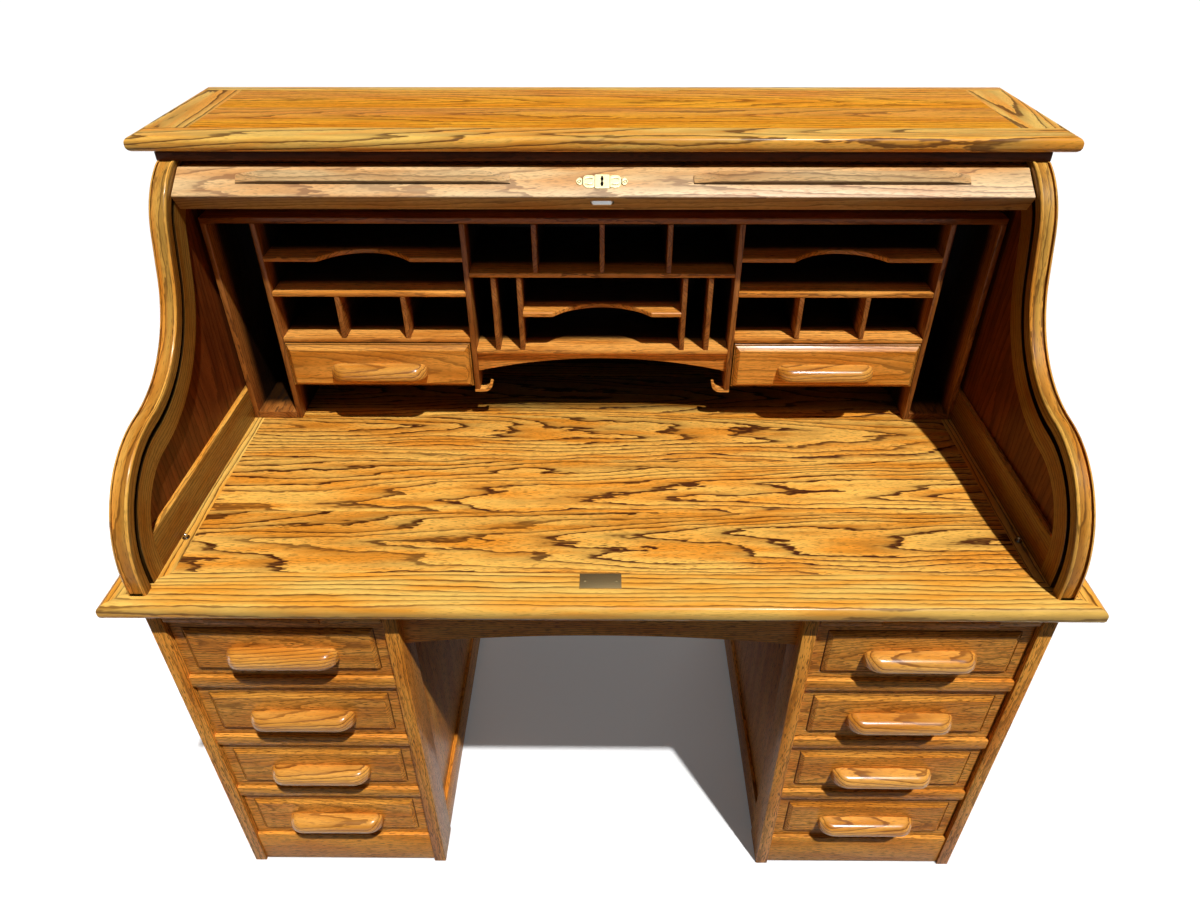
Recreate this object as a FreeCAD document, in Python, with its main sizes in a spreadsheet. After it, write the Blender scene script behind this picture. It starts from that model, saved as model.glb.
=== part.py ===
import FreeCAD, Part
import Sketcher
import math
import os
import re
from types import SimpleNamespace

# An oak roll-top desk: two pedestals of drawers carry a writing surface, and on it stands a case
# with S-shaped sides, a roll of slats that runs in their grooves, and a pigeonhole unit.
# Frame: X to the right, Y to the back, Z up, origin on the floor under the middle of the desk.
# Depths count from the front edge of the writing surface, roll and unit heights from its top.

# Driving sizes in millimetres and degrees.
SIZES = [
    ("kneehole_width", 636, "clear width between the pedestals"),
    ("pedestal_width", 392, "pedestal, outside to outside"),
    ("pedestal_face", 24, "front of the pedestals behind the surface edge"),
    ("rear_setback", 24, "back of the pedestals and case before the rear edge of the surface"),
    ("surface_overhang", 52, "writing surface beyond the pedestals at each end"),
    ("surface_thick", 28, "thickness of the writing surface"),
    ("surface_lip", 78, "width of the front lipping of the writing surface"),
    ("surface_end", 88, "width of the end lippings of the writing surface"),
    ("surface_nosing", 11, "radius of the writing surface's rounded edge"),
    ("side_thick", 23, "thickness of a pedestal side"),
    ("side_stile", 70, "width of the stiles of a pedestal side"),
    ("side_rail", 84, "height of the rails of a pedestal side"),
    ("panel_thick", 8, "thickness of sunk panels and backs"),
    ("foot_height", 12, "floor to the bottom rail of a pedestal side"),
    ("plinth_top", 92, "floor to the bottom of the lowest drawer opening"),
    ("plinth_gap", 4, "floor to the underside of the plinth"),
    ("plinth_thick", 20, "thickness of the plinth"),
    ("rail_height", 26, "height of the rails between drawers"),
    ("rail_depth", 45, "depth of the rails between drawers"),
    ("rail_setback", 3, "front of the rails behind the pedestal face"),
    ("top_rail_high", 14, "height of the rail above the writing slide"),
    ("drawer_opening", 134, "height of a drawer opening"),
    ("drawer_gap", 1.5, "clearance round a drawer front"),
    ("front_setback", 9, "drawer front's border behind the pedestal face"),
    ("front_thick", 18, "thickness of a drawer front at its border"),
    ("field_raise", 5, "raised field of a drawer front above its border"),
    ("field_bevel", 5, "width of the field's bevelled edge"),
    ("field_side", 20, "border beside the field"),
    ("field_edge", 18, "border above and below the field"),
    ("box_gap", 3, "clearance of a drawer box at each side"),
    ("box_side", 12, "thickness of the drawer box sides and back"),
    ("box_relief", 24, "drawer box lower than its opening"),
    ("box_room", 104, "clearance behind a drawer box"),
    ("box_floor", 6, "thickness of the drawer bottom"),
    ("floor_lift", 8, "drawer bottom above the lower edge of its sides"),
    ("runner_wide", 20, "width of a drawer runner"),
    ("runner_high", 16, "height of a drawer runner"),
    ("slide_thick", 16, "thickness of the writing slide"),
    ("slide_depth", 480, "length of the writing slide"),
    ("slide_gap", 2, "clearance under the writing slide"),
    ("slide_runner", 10, "height of the writing slide's runners"),
    ("grip_length", 180, "length of the writing slide's grip"),
    ("grip_high", 12, "height of the writing slide's grip"),
    ("grip_proud", 5, "projection of the writing slide's grip"),
    ("grip_offset", 14, "grip centre outward of the pedestal centre"),
    ("pull_length", 180, "length of a drawer pull"),
    ("pull_proud", 28, "projection of a drawer pull"),
    ("pull_high", 24, "height of a drawer pull"),
    ("pull_drop", 4, "pull centre below the drawer centre"),
    ("pull_corner", 22, "plan radius of a pull's front corners"),
    ("pull_slope", 8, "width of a pull's sloped upper edge"),
    ("pull_ease", 2, "width of a pull's eased lower edge"),
    ("apron_setback", 47, "kneehole apron behind the surface edge"),
    ("apron_thick", 18, "thickness of the kneehole apron"),
    ("apron_drop", 102, "kneehole apron's height at its ends"),
    ("apron_arch", 20, "rise of the kneehole apron's arch"),
    ("modesty_bottom", 240, "floor to the kneehole back panel"),
    ("back_frame", 70, "width of the stiles and rails of the backs"),
    ("back_thick", 18, "thickness of the frames of the backs"),
    ("strike_length", 65, "strike plate, side to side"),
    ("strike_wide", 32, "strike plate, front to back"),
    ("strike_front", 45, "strike plate behind the surface edge"),
    ("strike_thick", 1.5, "thickness of the strike plate"),
    ("roll_overhang", 12, "outer face of the roll sides beyond the pedestals"),
    ("roll_thick", 29, "thickness of the roll sides"),
    ("roll_setback", 25, "foot of the roll sides behind the surface edge"),
    ("roll_rise", 29, "upright foot of the S"),
    ("foot_radius", 187, "convex lower arc of the S"),
    ("foot_slope", 5, "slope where the S turns hollow"),
    ("hollow_radius", 218, "hollow arc of the S"),
    ("hollow_slope", 71, "slope of the straight above the hollow"),
    ("hollow_straight", 68, "straight above the hollow"),
    ("crown_radius", 149, "convex upper arc of the S"),
    ("crown_flat", 12, "top of the roll sides below the crown of the S"),
    ("groove_inset", 23, "groove's middle inward of the S"),
    ("groove_wide", 9.2, "width of the groove"),
    ("groove_deep", 10, "depth of the groove"),
    ("bend_radius", 95, "groove's bend down the back"),
    ("roll_stile", 66, "width of the S stile"),
    ("roll_foot_rail", 64, "height of the roll side's bottom rail"),
    ("roll_head_rail", 74, "height of the roll side's top rail"),
    ("roll_rear_stile", 67, "width of the roll side's rear stile"),
    ("panel_fit", 0.2, "clearance of the sunk panels of the roll sides"),
    ("frieze_high", 15, "height of the frieze frame"),
    ("frieze_wide", 26, "width of the frieze boards"),
    ("frieze_lead", 52, "front of the frieze before the crown's centre"),
    ("frieze_inset", 0, "ends of the frieze inside the roll sides' outer faces"),
    ("top_thick", 24, "thickness of the top"),
    ("top_front", 8, "top beyond the frieze at the front"),
    ("top_side", 40, "top beyond the roll sides at each end"),
    ("top_lip", 58, "width of the front lipping of the top"),
    ("top_end", 81, "width of the end lippings of the top"),
    ("top_nosing", 10, "radius of the top's rounded edge"),
    ("lead_angle", 123.7, "lead rail's place on the crown, from the back"),
    ("lead_wide", 60, "lead rail along the roll"),
    ("lead_proud", 8, "lead rail's face outside the groove's middle"),
    ("lead_thick", 34, "thickness of the lead rail"),
    ("lead_gap", 1.5, "lead rail and slat clearance to the roll sides"),
    ("lead_arris", 3, "radius of the lead rail's front edges"),
    ("tongue_length", 20, "lead rail's tongue along the groove"),
    ("tongue_thick", 7, "lead rail's tongue across the groove"),
    ("tongue_deep", 8.5, "length of tongues and slat ends in the groove"),
    ("finger_inner", 148, "inner end of a finger pull from the middle"),
    ("finger_length", 444, "length of a finger pull"),
    ("finger_proud", 16, "projection of a finger pull"),
    ("finger_tip", 5, "projection of a finger pull at its ends"),
    ("finger_ramp", 42, "length of a finger pull's tapered ends"),
    ("finger_wide", 15, "height of a finger pull"),
    ("finger_lift", 3, "finger pull above the lead rail's middle"),
    ("plate_half", 42, "escutcheon's half length"),
    ("plate_body", 27, "escutcheon's half length between the scallops"),
    ("plate_rise", 14, "escutcheon's half height"),
    ("plate_scallop", 7, "radius of the escutcheon's scallops"),
    ("plate_thick", 1.5, "thickness of the escutcheon"),
    ("keyhole_radius", 3.2, "radius of the keyhole"),
    ("keyhole_slot", 2.4, "width of the keyhole's slot"),
    ("keyhole_length", 13, "length of the keyhole's slot"),
    ("bolt_length", 38, "lock bolt, side to side"),
    ("bolt_thick", 8, "thickness of the lock bolt"),
    ("bolt_deep", 22, "length of the lock bolt"),
    ("bolt_proud", 2, "lock bolt below the lead rail at rest"),
    ("bolt_sink", 14, "lock bolt's middle behind the lead rail's face"),
    ("bolt_gap", 0.4, "clearance of the lock bolt in its slot"),
    ("slat_wide", 20, "width of a slat along the roll"),
    ("slat_thick", 7.6, "thickness of a slat at its crown"),
    ("slat_edge", 4, "thickness of a slat at its edges"),
    ("slat_pitch", 21, "slats along the roll, middle to middle"),
    ("canvas_thick", 1, "thickness of the canvas behind the slats"),
    ("unit_lead", 30, "pigeonhole unit's front before the crown's centre"),
    ("unit_depth", 230, "pigeonhole unit, front to back"),
    ("unit_top", 11, "thickness of the unit's top board"),
    ("tail_gap", 20, "stored roll's middle behind the unit"),
    ("tail_margin", 37, "back of the case behind the stored roll's middle"),
    ("tail_foot", 6, "stored roll's end above the surface"),
    ("partition", 10, "thickness of the unit's partitions"),
    ("divider", 9, "thickness of the unit's dividers"),
    ("shelf", 9, "thickness of the unit's shelves"),
    ("end_slot", 75, "width of the slots at the ends of the unit"),
    ("end_floor", 15, "height of the end slots' floor boards"),
    ("centre_half", 237, "half width of the unit's middle"),
    ("partition_foot", 68, "lower end of the middle's partitions"),
    ("small_high", 91.5, "height of a small drawer's front"),
    ("hole_high", 84, "clear height of the wings' pigeonholes"),
    ("paper_high", 58, "clear height under the wings' scooped shelf"),
    ("wing_high", 61, "clear height over the wings' scooped shelf"),
    ("centre_high", 90, "clear height of the middle's upper holes"),
    ("letter_high", 69, "clear height over the middle's scooped shelf"),
    ("card_high", 68, "clear height under the middle's scooped shelf"),
    ("letter_slot", 37, "width of the letter slots"),
    ("scoop_end", 93, "plain front edge beside the wings' scoop"),
    ("scoop_centre_end", 54, "plain front edge beside the middle's scoop"),
    ("scoop_cheek", 14, "scoop's slanted cheek"),
    ("scoop_deep", 40, "depth of the scoop"),
    ("arch_setback", 8, "unit's apron behind its front"),
    ("arch_thick", 12, "thickness of the unit's apron"),
    ("arch_drop", 42, "unit's apron height at its ends"),
    ("arch_rise", 28, "rise of the unit's arch"),
    ("curl_outer", 19, "outer radius of the curled brackets"),
    ("curl_inner", 14, "inner radius of the curled brackets"),
    ("curl_foot", 16, "straight foot of the curled brackets"),
    ("curl_deep", 16, "curled brackets, front to back"),
    ("small_bottom", 78, "underside of a small drawer's front"),
    ("small_thick", 10, "thickness of a small drawer's front at its edge"),
    ("small_raise", 9, "bevelled face of a small drawer's front"),
    ("small_proud", 11, "small drawer's face before the unit's front"),
    ("small_side", 8, "thickness of a small drawer's box"),
    ("small_box", 66, "height of a small drawer's box"),
    ("small_depth", 165, "length of a small drawer's box"),
    ("small_floor", 5, "thickness of a small drawer's bottom"),
    ("small_runner", 9, "width and height of a small drawer's runners"),
    ("small_lift", 2, "small drawer's box above the lower edge of its front"),
]

# Places that follow from the sizes, each from those above it.
PLACES = [
    ("slide_bottom", "plinth_top + 4 * drawer_opening + 3 * rail_height + slide_gap"),
    ("under_surface", "slide_bottom + slide_thick + top_rail_high"),
    ("surface_height", "under_surface + surface_thick"),
    ("drawer_pitch", "drawer_opening + rail_height"),
    ("knee_half", "kneehole_width / 2"),
    ("pedestal_outer", "knee_half + pedestal_width"),
    ("surface_half", "pedestal_outer + surface_overhang"),
    ("bay_inner", "knee_half + side_thick"),
    ("bay_width", "pedestal_width - 2 * side_thick"),
    ("bay_middle", "bay_inner + bay_width / 2"),
    ("rail_front", "pedestal_face + rail_setback"),
    ("rail_back", "rail_front + rail_depth"),
    ("front_plane", "pedestal_face + front_setback"),
    ("front_back", "front_plane + front_thick"),
    ("roll_outer", "pedestal_outer + roll_overhang"),
    ("roll_inner", "roll_outer - roll_thick"),
    ("crown_y", "roll_setback + foot_radius - (foot_radius + hollow_radius) * sin(foot_slope)"
                " + (hollow_radius + crown_radius) * sin(hollow_slope)"
                " + hollow_straight * cos(hollow_slope)"),
    ("crown_z", "roll_rise + (foot_radius + hollow_radius) * cos(foot_slope)"
                " - (hollow_radius + crown_radius) * cos(hollow_slope)"
                " + hollow_straight * sin(hollow_slope)"),
    ("roll_top", "crown_z + crown_radius - crown_flat"),
    ("groove_radius", "crown_radius - groove_inset"),
    ("run_height", "crown_z + groove_radius"),
    ("unit_front", "crown_y - unit_lead"),
    ("unit_rear", "unit_front + unit_depth"),
    ("tail_y", "unit_rear + tail_gap"),
    ("bend_y", "tail_y - bend_radius"),
    ("bend_z", "run_height - bend_radius"),
    ("case_rear", "tail_y + tail_margin"),
    ("desk_depth", "case_rear + rear_setback"),
    ("half_depth", "desk_depth / 2"),
    ("back_front", "case_rear - back_thick"),
    ("box_depth", "back_front - front_back - box_room"),
    ("frieze_front", "crown_y - frieze_lead"),
    ("frieze_half", "roll_outer - frieze_inset"),
    ("top_edge", "frieze_front - top_front"),
    ("top_half", "roll_outer + top_side"),
    ("top_under", "surface_height + roll_top + frieze_high"),
    ("lead_face", "groove_radius + lead_proud"),
    ("lead_back", "lead_face - lead_thick"),
    ("lead_half", "roll_inner - lead_gap"),
    ("slat_half", "roll_inner + tongue_deep"),
    ("wing_inner", "centre_half + partition"),
    ("wing_outer", "roll_inner - 2 * partition - end_slot"),
    ("wing_width", "wing_outer - wing_inner"),
    ("small_face", "unit_front - small_proud"),
    ("small_back", "small_face + small_raise + small_thick"),
    ("small_top", "small_bottom + small_high"),
    ("wing_lower", "small_top + drawer_gap"),
    ("wing_middle", "wing_lower + shelf + hole_high"),
    ("wing_upper", "wing_middle + shelf + paper_high"),
    ("unit_height", "wing_upper + shelf + wing_high"),
    ("centre_upper", "unit_height - centre_high - shelf"),
    ("centre_middle", "centre_upper - letter_high - shelf"),
    ("centre_lower", "centre_middle - card_high - shelf"),
]

doc = FreeCAD.newDocument("RollTopDesk")
sheet = doc.addObject("Spreadsheet::Sheet", "Sizes")
for row, (alias, number, meaning) in enumerate(SIZES, start=1):
    sheet.set(f"A{row}", meaning)
    sheet.set(f"B{row}", str(number))
    sheet.setAlias(f"B{row}", alias)
doc.recompute()

OWNER = {alias: "Sizes" for alias, number, meaning in SIZES}
WORD = re.compile(r"[a-z][a-z_]*")


def bind(obj, prop, formula):
    """Tie a property to the sheet: each word of the formula is a size, a place, or sin and cos."""
    def owned(word):
        name = word.group(0)
        return f"{OWNER[name]}.{name}" if name in OWNER else name
    obj.setExpression(prop, WORD.sub(owned, formula))


places = doc.addObject("App::VarSet", "Places")
for alias, formula in PLACES:
    places.addProperty("App::PropertyFloat", alias)
    bind(places, alias, formula)
    OWNER[alias] = "Places"
doc.recompute()

# The same sizes and places as numbers, for outlines.
d = SimpleNamespace(**{alias: float(sheet.get(alias)) for alias, number, meaning in SIZES})
for alias, formula in PLACES:
    setattr(d, alias, float(getattr(places, alias)))

NODES = []
HANDS = (("left", -1), ("right", 1))
X_AXIS = FreeCAD.Vector(1, 0, 0)


def node(label, *pieces):
    """Name a sub-part: one piece takes the label itself, several become a group under it."""
    part = pieces[0]
    if len(pieces) > 1:
        part = doc.addObject("Part::Compound", label)
        part.Links = list(pieces)
    part.Label = label
    NODES.append(part)


def place(obj, x, y, z):
    """Put an object at x, y behind the surface edge and z above the floor."""
    bind(obj, "Placement.Base.x", x)
    bind(obj, "Placement.Base.y", f"{y} - half_depth")
    bind(obj, "Placement.Base.z", z)


def handed(hand, x, wide):
    """Lowest X of a piece that starts x from the middle, on the left or on the right."""
    return x if hand > 0 else f"-({x}) - ({wide})"


def board(x, y, z, wide, deep, high):
    """A square-edged board with its lowest corner at x, y, z."""
    box = doc.addObject("Part::Box", "Board")
    bind(box, "Length", wide)
    bind(box, "Width", deep)
    bind(box, "Height", high)
    place(box, x, y, z)
    return box


def mirrored_boards(x, y, z, wide, deep, high):
    """The same board on the left and on the right."""
    return [board(handed(hand, x, wide), y, z, wide, deep, high) for side, hand in HANDS]


def point(x, y):
    return FreeCAD.Vector(x, y, 0)


def polar(centre, radius, angle):
    """The point of a circle at an angle in degrees."""
    turn = math.radians(angle)
    return point(centre.x + radius * math.cos(turn), centre.y + radius * math.sin(turn))


def arc(centre, radius, start, end):
    """Part of a circle, anticlockwise from start to end in degrees."""
    circle = Part.Circle(centre, FreeCAD.Vector(0, 0, 1), radius)
    return Part.ArcOfCircle(circle, math.radians(start), math.radians(end))


def three_point(first, middle, last):
    """The arc through three points."""
    return Part.Arc(first, middle, last)


def run(*corners):
    """Straight edges from corner to corner."""
    return [Part.LineSegment(a, b) for a, b in zip(corners, corners[1:])]


def loop(*corners):
    """A closed outline of straight edges."""
    return run(*corners, corners[0])


def outline(body, plane, edges, lift="0"):
    """A sketch of fixed edges on one of the body's own planes, lifted along the plane's normal."""
    sketch = body.newObject("Sketcher::SketchObject", "Outline")
    origin = next(feature for feature in body.Origin.OriginFeatures if feature.Role == plane)
    sketch.AttachmentSupport = [(origin, "")]
    sketch.MapMode = "FlatFace"
    bind(sketch, "AttachmentOffset.Base.z", lift)
    for index in sketch.addGeometry(edges, False):
        sketch.addConstraint(Sketcher.Constraint("Block", index))
    return sketch


def pad(body, plane, edges, length, lift="0", reverse=False):
    """Grow the body by an outline carried along the plane's normal."""
    feature = body.newObject("PartDesign::Pad", "Pad")
    feature.Profile = outline(body, plane, edges, lift)
    feature.Reversed = reverse
    bind(feature, "Length", length)
    body.Tip = feature
    return feature


def pocket(body, plane, edges, depth, lift="0", reverse=False):
    """Cut an outline out of the body and make sure that the cut removed wood."""
    doc.recompute()
    before = body.Shape.Volume
    feature = body.newObject("PartDesign::Pocket", "Pocket")
    feature.Profile = outline(body, plane, edges, lift)
    feature.Reversed = reverse
    bind(feature, "Length", depth)
    body.Tip = feature
    doc.recompute()
    if body.Shape.Volume >= before:
        raise RuntimeError(f"{body.Name}: the pocket cut nothing")


def soften(body, size, wanted, cut="Fillet"):
    """Round or chamfer the edges whose middle point passes the test."""
    doc.recompute()
    base = body.Tip
    names = []
    for index, edge in enumerate(base.Shape.Edges, start=1):
        middle = edge.valueAt((edge.FirstParameter + edge.LastParameter) / 2)
        if wanted(middle, edge):
            names.append(f"Edge{index}")
    feature = body.newObject(f"PartDesign::{cut}", cut)
    feature.Base = (base, names)
    bind(feature, "Radius" if cut == "Fillet" else "Size", size)
    body.Tip = feature


def near(a, b):
    return abs(a - b) < 1e-4


def new_body(name, x, y, z):
    """An empty body at x, y, z."""
    body = doc.addObject("PartDesign::Body", name)
    place(body, x, y, z)
    return body


# Writing surface and top: a middle panel in a mitred frame with a rounded nosing.
def framed_top(name, half, front, lip, end, thick, nosing, under):
    """Panel and three lippings of a top; arguments are names of sizes and places."""
    w, f, b = getattr(d, half), getattr(d, front, 0.0), d.desk_depth
    seam_x, seam_y = w - getattr(d, end), f + getattr(d, lip)
    panel = board(f"-({half} - {end})", f"{front} + {lip}", under,
                  f"2 * ({half} - {end})", f"desk_depth - {front} - {lip}", thick)
    node(f"{name}_panel", panel)
    shapes = [loop(point(-w, f), point(w, f), point(seam_x, seam_y), point(-seam_x, seam_y))]
    for side, hand in HANDS:
        shapes.append(loop(point(hand * w, f), point(hand * w, b),
                           point(hand * seam_x, b), point(hand * seam_x, seam_y)))
    lippings = []
    for edges in shapes:
        body = new_body(f"{name}_lipping", "0", "0", under)
        pad(body, "XY_Plane", edges, thick)
        soften(body, nosing, lambda middle, edge: not near(middle.z, getattr(d, thick) / 2)
               and (near(middle.y, f) or near(abs(middle.x), w)))
        lippings.append(body)
    node(f"{name}_frame", *lippings)


framed_top("writing_surface", "surface_half", "0", "surface_lip", "surface_end",
           "surface_thick", "surface_nosing", "under_surface")
framed_top("top", "top_half", "top_edge", "top_lip", "top_end",
           "top_thick", "top_nosing", "top_under")

node("strike_plate", board("-strike_length / 2", "strike_front", "surface_height",
                           "strike_length", "strike_wide", "strike_thick"))


# Kneehole apron: a board with an arched lower edge.
def arched_board(name, half, drop, rise, thick, y, z):
    """A board between -half and half that hangs down from z, with an arch cut in its lower edge."""
    w, low = getattr(d, half), -getattr(d, drop)
    body = new_body(name, "0", f"{y} + {thick}", z)
    edges = run(point(-w, low), point(-w, 0), point(w, 0), point(w, low))
    edges.append(three_point(point(w, low), point(0, low + getattr(d, rise)), point(-w, low)))
    pad(body, "XZ_Plane", edges, thick)
    return body


node("kneehole_apron", arched_board("kneehole_apron", "knee_half", "apron_drop", "apron_arch",
                                    "apron_thick", "apron_setback", "under_surface"))


# Frames with sunk panels: pedestal sides, pedestal backs, kneehole back and back of the case.
def framed_side(label, hand, x):
    """Pedestal side whose inner face is x from the middle: stiles to the floor, rails, sunk panel."""
    def piece(y, z, deep, high, inset="0", thick="side_thick"):
        return board(handed(hand, f"{x} + {inset}", thick), y, z, thick, deep, high)
    between = "desk_depth - rear_setback - pedestal_face - 2 * side_stile"
    low = "(foot_height + side_rail)"
    node(label,
         piece("pedestal_face", "0", "side_stile", "under_surface"),
         piece("case_rear - side_stile", "0", "side_stile", "under_surface"),
         piece("pedestal_face + side_stile", "foot_height", between, "side_rail"),
         piece("pedestal_face + side_stile", "under_surface - side_rail", between, "side_rail"),
         piece("pedestal_face + side_stile", low, between, f"under_surface - side_rail - {low}",
               "(side_thick - panel_thick) / 2", "panel_thick"))


def framed_back(x, wide, z, high, panels):
    """Frame of back_frame wide stiles and rails at the back of the desk, with sunk panels."""
    inner = f"({high} - 2 * back_frame)"
    opening = f"(({wide} - {panels + 1} * back_frame) / {panels})"
    span = f"({wide} - 2 * back_frame)"
    pieces = [board(f"{x} + back_frame", "back_front", level, span, "back_thick", "back_frame")
              for level in (z, f"{z} + {high} - back_frame")]
    for index in range(panels + 1):
        outer = index in (0, panels)
        pieces.append(board(f"{x} + {index} * ({opening} + back_frame)", "back_front",
                            z if outer else f"{z} + back_frame", "back_frame", "back_thick",
                            high if outer else inner))
    for index in range(panels):
        pieces.append(board(f"{x} + back_frame + {index} * ({opening} + back_frame)",
                            "back_front + (back_thick - panel_thick) / 2", f"{z} + back_frame",
                            opening, "panel_thick", inner))
    return pieces


for side, hand in HANDS:
    framed_side(f"{side}_inner_side", hand, "knee_half")
    framed_side(f"{side}_outer_side", hand, "(pedestal_outer - side_thick)")
node("pedestal_backs", *[piece for side, hand in HANDS
                         for piece in framed_back(handed(hand, "bay_inner", "bay_width"),
                                                  "bay_width", "foot_height",
                                                  "(under_surface - foot_height)", 1)])
node("modesty_panel", *framed_back("-knee_half", "kneehole_width", "modesty_bottom",
                                   "(under_surface - modesty_bottom)", 2))
node("upper_back", *framed_back("-roll_inner", "(2 * roll_inner)", "surface_height",
                                "roll_top", 4))

# Front rails, plinths and the runners that carry the drawers and the writing slides.
rails = []
for level in range(1, 4):
    rails += mirrored_boards("bay_inner", "rail_front",
                             f"plinth_top + {level} * drawer_pitch - rail_height",
                             "bay_width", "rail_depth", "rail_height")
rails += mirrored_boards("bay_inner", "rail_front", "under_surface - top_rail_high",
                         "bay_width", "rail_depth", "top_rail_high")
rails += mirrored_boards("bay_inner", "rail_front", "plinth_gap", "bay_width",
                         "plinth_thick", "plinth_top - plinth_gap")
node("front_rails", *rails)
runners = []
for edge in ("bay_inner", "bay_inner + bay_width - runner_wide"):
    for level in range(4):
        runners += mirrored_boards(edge, "rail_back",
                                   f"plinth_top + {level} * drawer_pitch - runner_high",
                                   "runner_wide", "back_front - rail_back", "runner_high")
    runners += mirrored_boards(edge, "rail_back", "slide_bottom - slide_runner",
                               "runner_wide", "back_front - rail_back", "slide_runner")
node("drawer_runners", *runners)

# Writing slides: a board under the surface with a grip strip glued to its front edge.
for side, hand in HANDS:
    node(f"{side}_writing_slide",
         board(handed(hand, "bay_inner + drawer_gap", "bay_width - 2 * drawer_gap"),
               "pedestal_face", "slide_bottom", "bay_width - 2 * drawer_gap",
               "slide_depth", "slide_thick"),
         board(handed(hand, "bay_middle + grip_offset - grip_length / 2", "grip_length"),
               "pedestal_face - grip_proud", "slide_bottom + (slide_thick - grip_high) / 2",
               "grip_length", "grip_proud", "grip_high"))


# Drawers: a front with a bevelled field, a box of four boards and a wooden pull.
def bevelled_front(x, y, z, wide, high, thick, rise, border_x, border_z, bevel):
    """A slab whose face carries a field that stands rise proud, with sloping edges bevel wide."""
    slab = board(x, f"{y} + {rise}", z, wide, thick, high)
    field = doc.addObject("Part::Wedge", "Field")
    for prop, formula in (("Ymin", "0"), ("Ymax", rise),
                          ("X2min", border_x), ("X2max", f"{wide} - {border_x}"),
                          ("Z2min", border_z), ("Z2max", f"{high} - {border_z}"),
                          ("Xmin", f"{border_x} + {bevel}"),
                          ("Xmax", f"{wide} - {border_x} - {bevel}"),
                          ("Zmin", f"{border_z} + {bevel}"),
                          ("Zmax", f"{high} - {border_z} - {bevel}")):
        bind(field, prop, formula)
    place(field, x, y, z)
    front = doc.addObject("Part::Fuse", "Front")
    front.Base = slab
    front.Tool = field
    return front


def drawer_box(x, y, z, wide, deep, high, thick, floor, lift):
    """Two sides, a back between them and a bottom above their lower edges."""
    inner = f"{wide} - 2 * {thick}"
    return [board(x, y, z, thick, deep, high),
            board(f"{x} + {wide} - {thick}", y, z, thick, deep, high),
            board(f"{x} + {thick}", f"{y} + {deep} - {thick}", z, inner, thick, high),
            board(f"{x} + {thick}", y, f"{z} + {lift}", inner, f"{deep} - {thick}", floor)]


def pull(label, x, y, z):
    """A bar with rounded front corners, a sloped upper edge and a flat underside."""
    half = d.pull_length / 2
    body = new_body(label, x, y, z)
    pad(body, "XY_Plane", loop(point(-half, 0), point(half, 0), point(half, -d.pull_proud),
                               point(-half, -d.pull_proud)), "pull_high", "-pull_high / 2")
    soften(body, "pull_corner", lambda middle, edge: near(middle.z, 0) and middle.y < -1)
    soften(body, "pull_slope", lambda middle, edge: near(middle.z, d.pull_high / 2)
           and middle.y < -1e-3, "Chamfer")
    soften(body, "pull_ease", lambda middle, edge: near(middle.z, -d.pull_high / 2)
           and middle.y < -1e-3, "Chamfer")
    node(label, body)


for side, hand in HANDS:
    for level in range(4):
        name = f"{side}_drawer_{4 - level}"
        bottom = f"plinth_top + {level} * drawer_pitch"
        wide = "(bay_width - 2 * drawer_gap)"
        node(f"{name}_front",
             bevelled_front(handed(hand, "bay_inner + drawer_gap", wide),
                            "(front_plane - field_raise)", f"{bottom} + drawer_gap", wide,
                            "(drawer_opening - 2 * drawer_gap)", "front_thick", "field_raise",
                            "field_side", "field_edge", "field_bevel"))
        wide = "(bay_width - 2 * box_gap)"
        node(f"{name}_box",
             *drawer_box(handed(hand, "bay_inner + box_gap", wide), "front_back", bottom, wide,
                         "box_depth", "(drawer_opening - box_relief)", "box_side", "box_floor",
                         "floor_lift"))
        pull(f"{name}_pull", f"{hand} * bay_middle", "front_plane - field_raise",
             f"{bottom} + drawer_opening / 2 - pull_drop")

# Roll case: the S of its sides, as tangent arcs and straights. Coordinates are depth and height.
FOOT = point(d.roll_setback + d.foot_radius, d.roll_rise)
TURN = polar(FOOT, d.foot_radius, 90 + d.foot_slope)
HOLLOW = polar(TURN, d.hollow_radius, 90 + d.foot_slope)
CROWN = point(d.crown_y, d.crown_z)
BEND = point(d.bend_y, d.bend_z)


def s_edges(inset, low, end):
    """The S moved inward by inset, from height low to the angle end of its crown, and its ends."""
    foot, hollow, crown = d.foot_radius - inset, d.hollow_radius + inset, d.crown_radius - inset
    corner = polar(HOLLOW, hollow, d.hollow_slope - 90)
    crown_start = polar(CROWN, crown, 90 + d.hollow_slope)
    if low < d.roll_rise:
        start = point(d.roll_setback + inset, low)
        edges = run(start, point(d.roll_setback + inset, d.roll_rise))
        foot_angle = 180
    else:
        foot_angle = 180 - math.degrees(math.asin((low - d.roll_rise) / foot))
        start = polar(FOOT, foot, foot_angle)
        edges = []
    edges.append(arc(FOOT, foot, 90 + d.foot_slope, foot_angle))
    edges.append(arc(HOLLOW, hollow, d.foot_slope - 90, d.hollow_slope - 90))
    edges += run(corner, crown_start)
    edges.append(arc(CROWN, crown, end, 90 + d.hollow_slope))
    return edges, start, polar(CROWN, crown, end)


def crown_angle(inset, height):
    """The angle at which the crown, moved inward by inset, reaches a height."""
    rise = (height - d.crown_z) / (d.crown_radius - inset)
    return 180 - math.degrees(math.asin(rise))


def groove_wall(inset):
    """One wall of the groove: the S, the run under the top, the bend and the drop at the back."""
    edges, start, apex = s_edges(inset, 0, 90)
    bend = d.bend_radius + d.groove_inset - inset
    run_end = point(d.bend_y, apex.y)
    tail = point(d.bend_y + bend, 0)
    edges += run(apex, run_end)
    edges.append(arc(BEND, bend, 0, 90))
    edges += run(point(tail.x, d.bend_z), tail)
    return edges, start, tail


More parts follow.
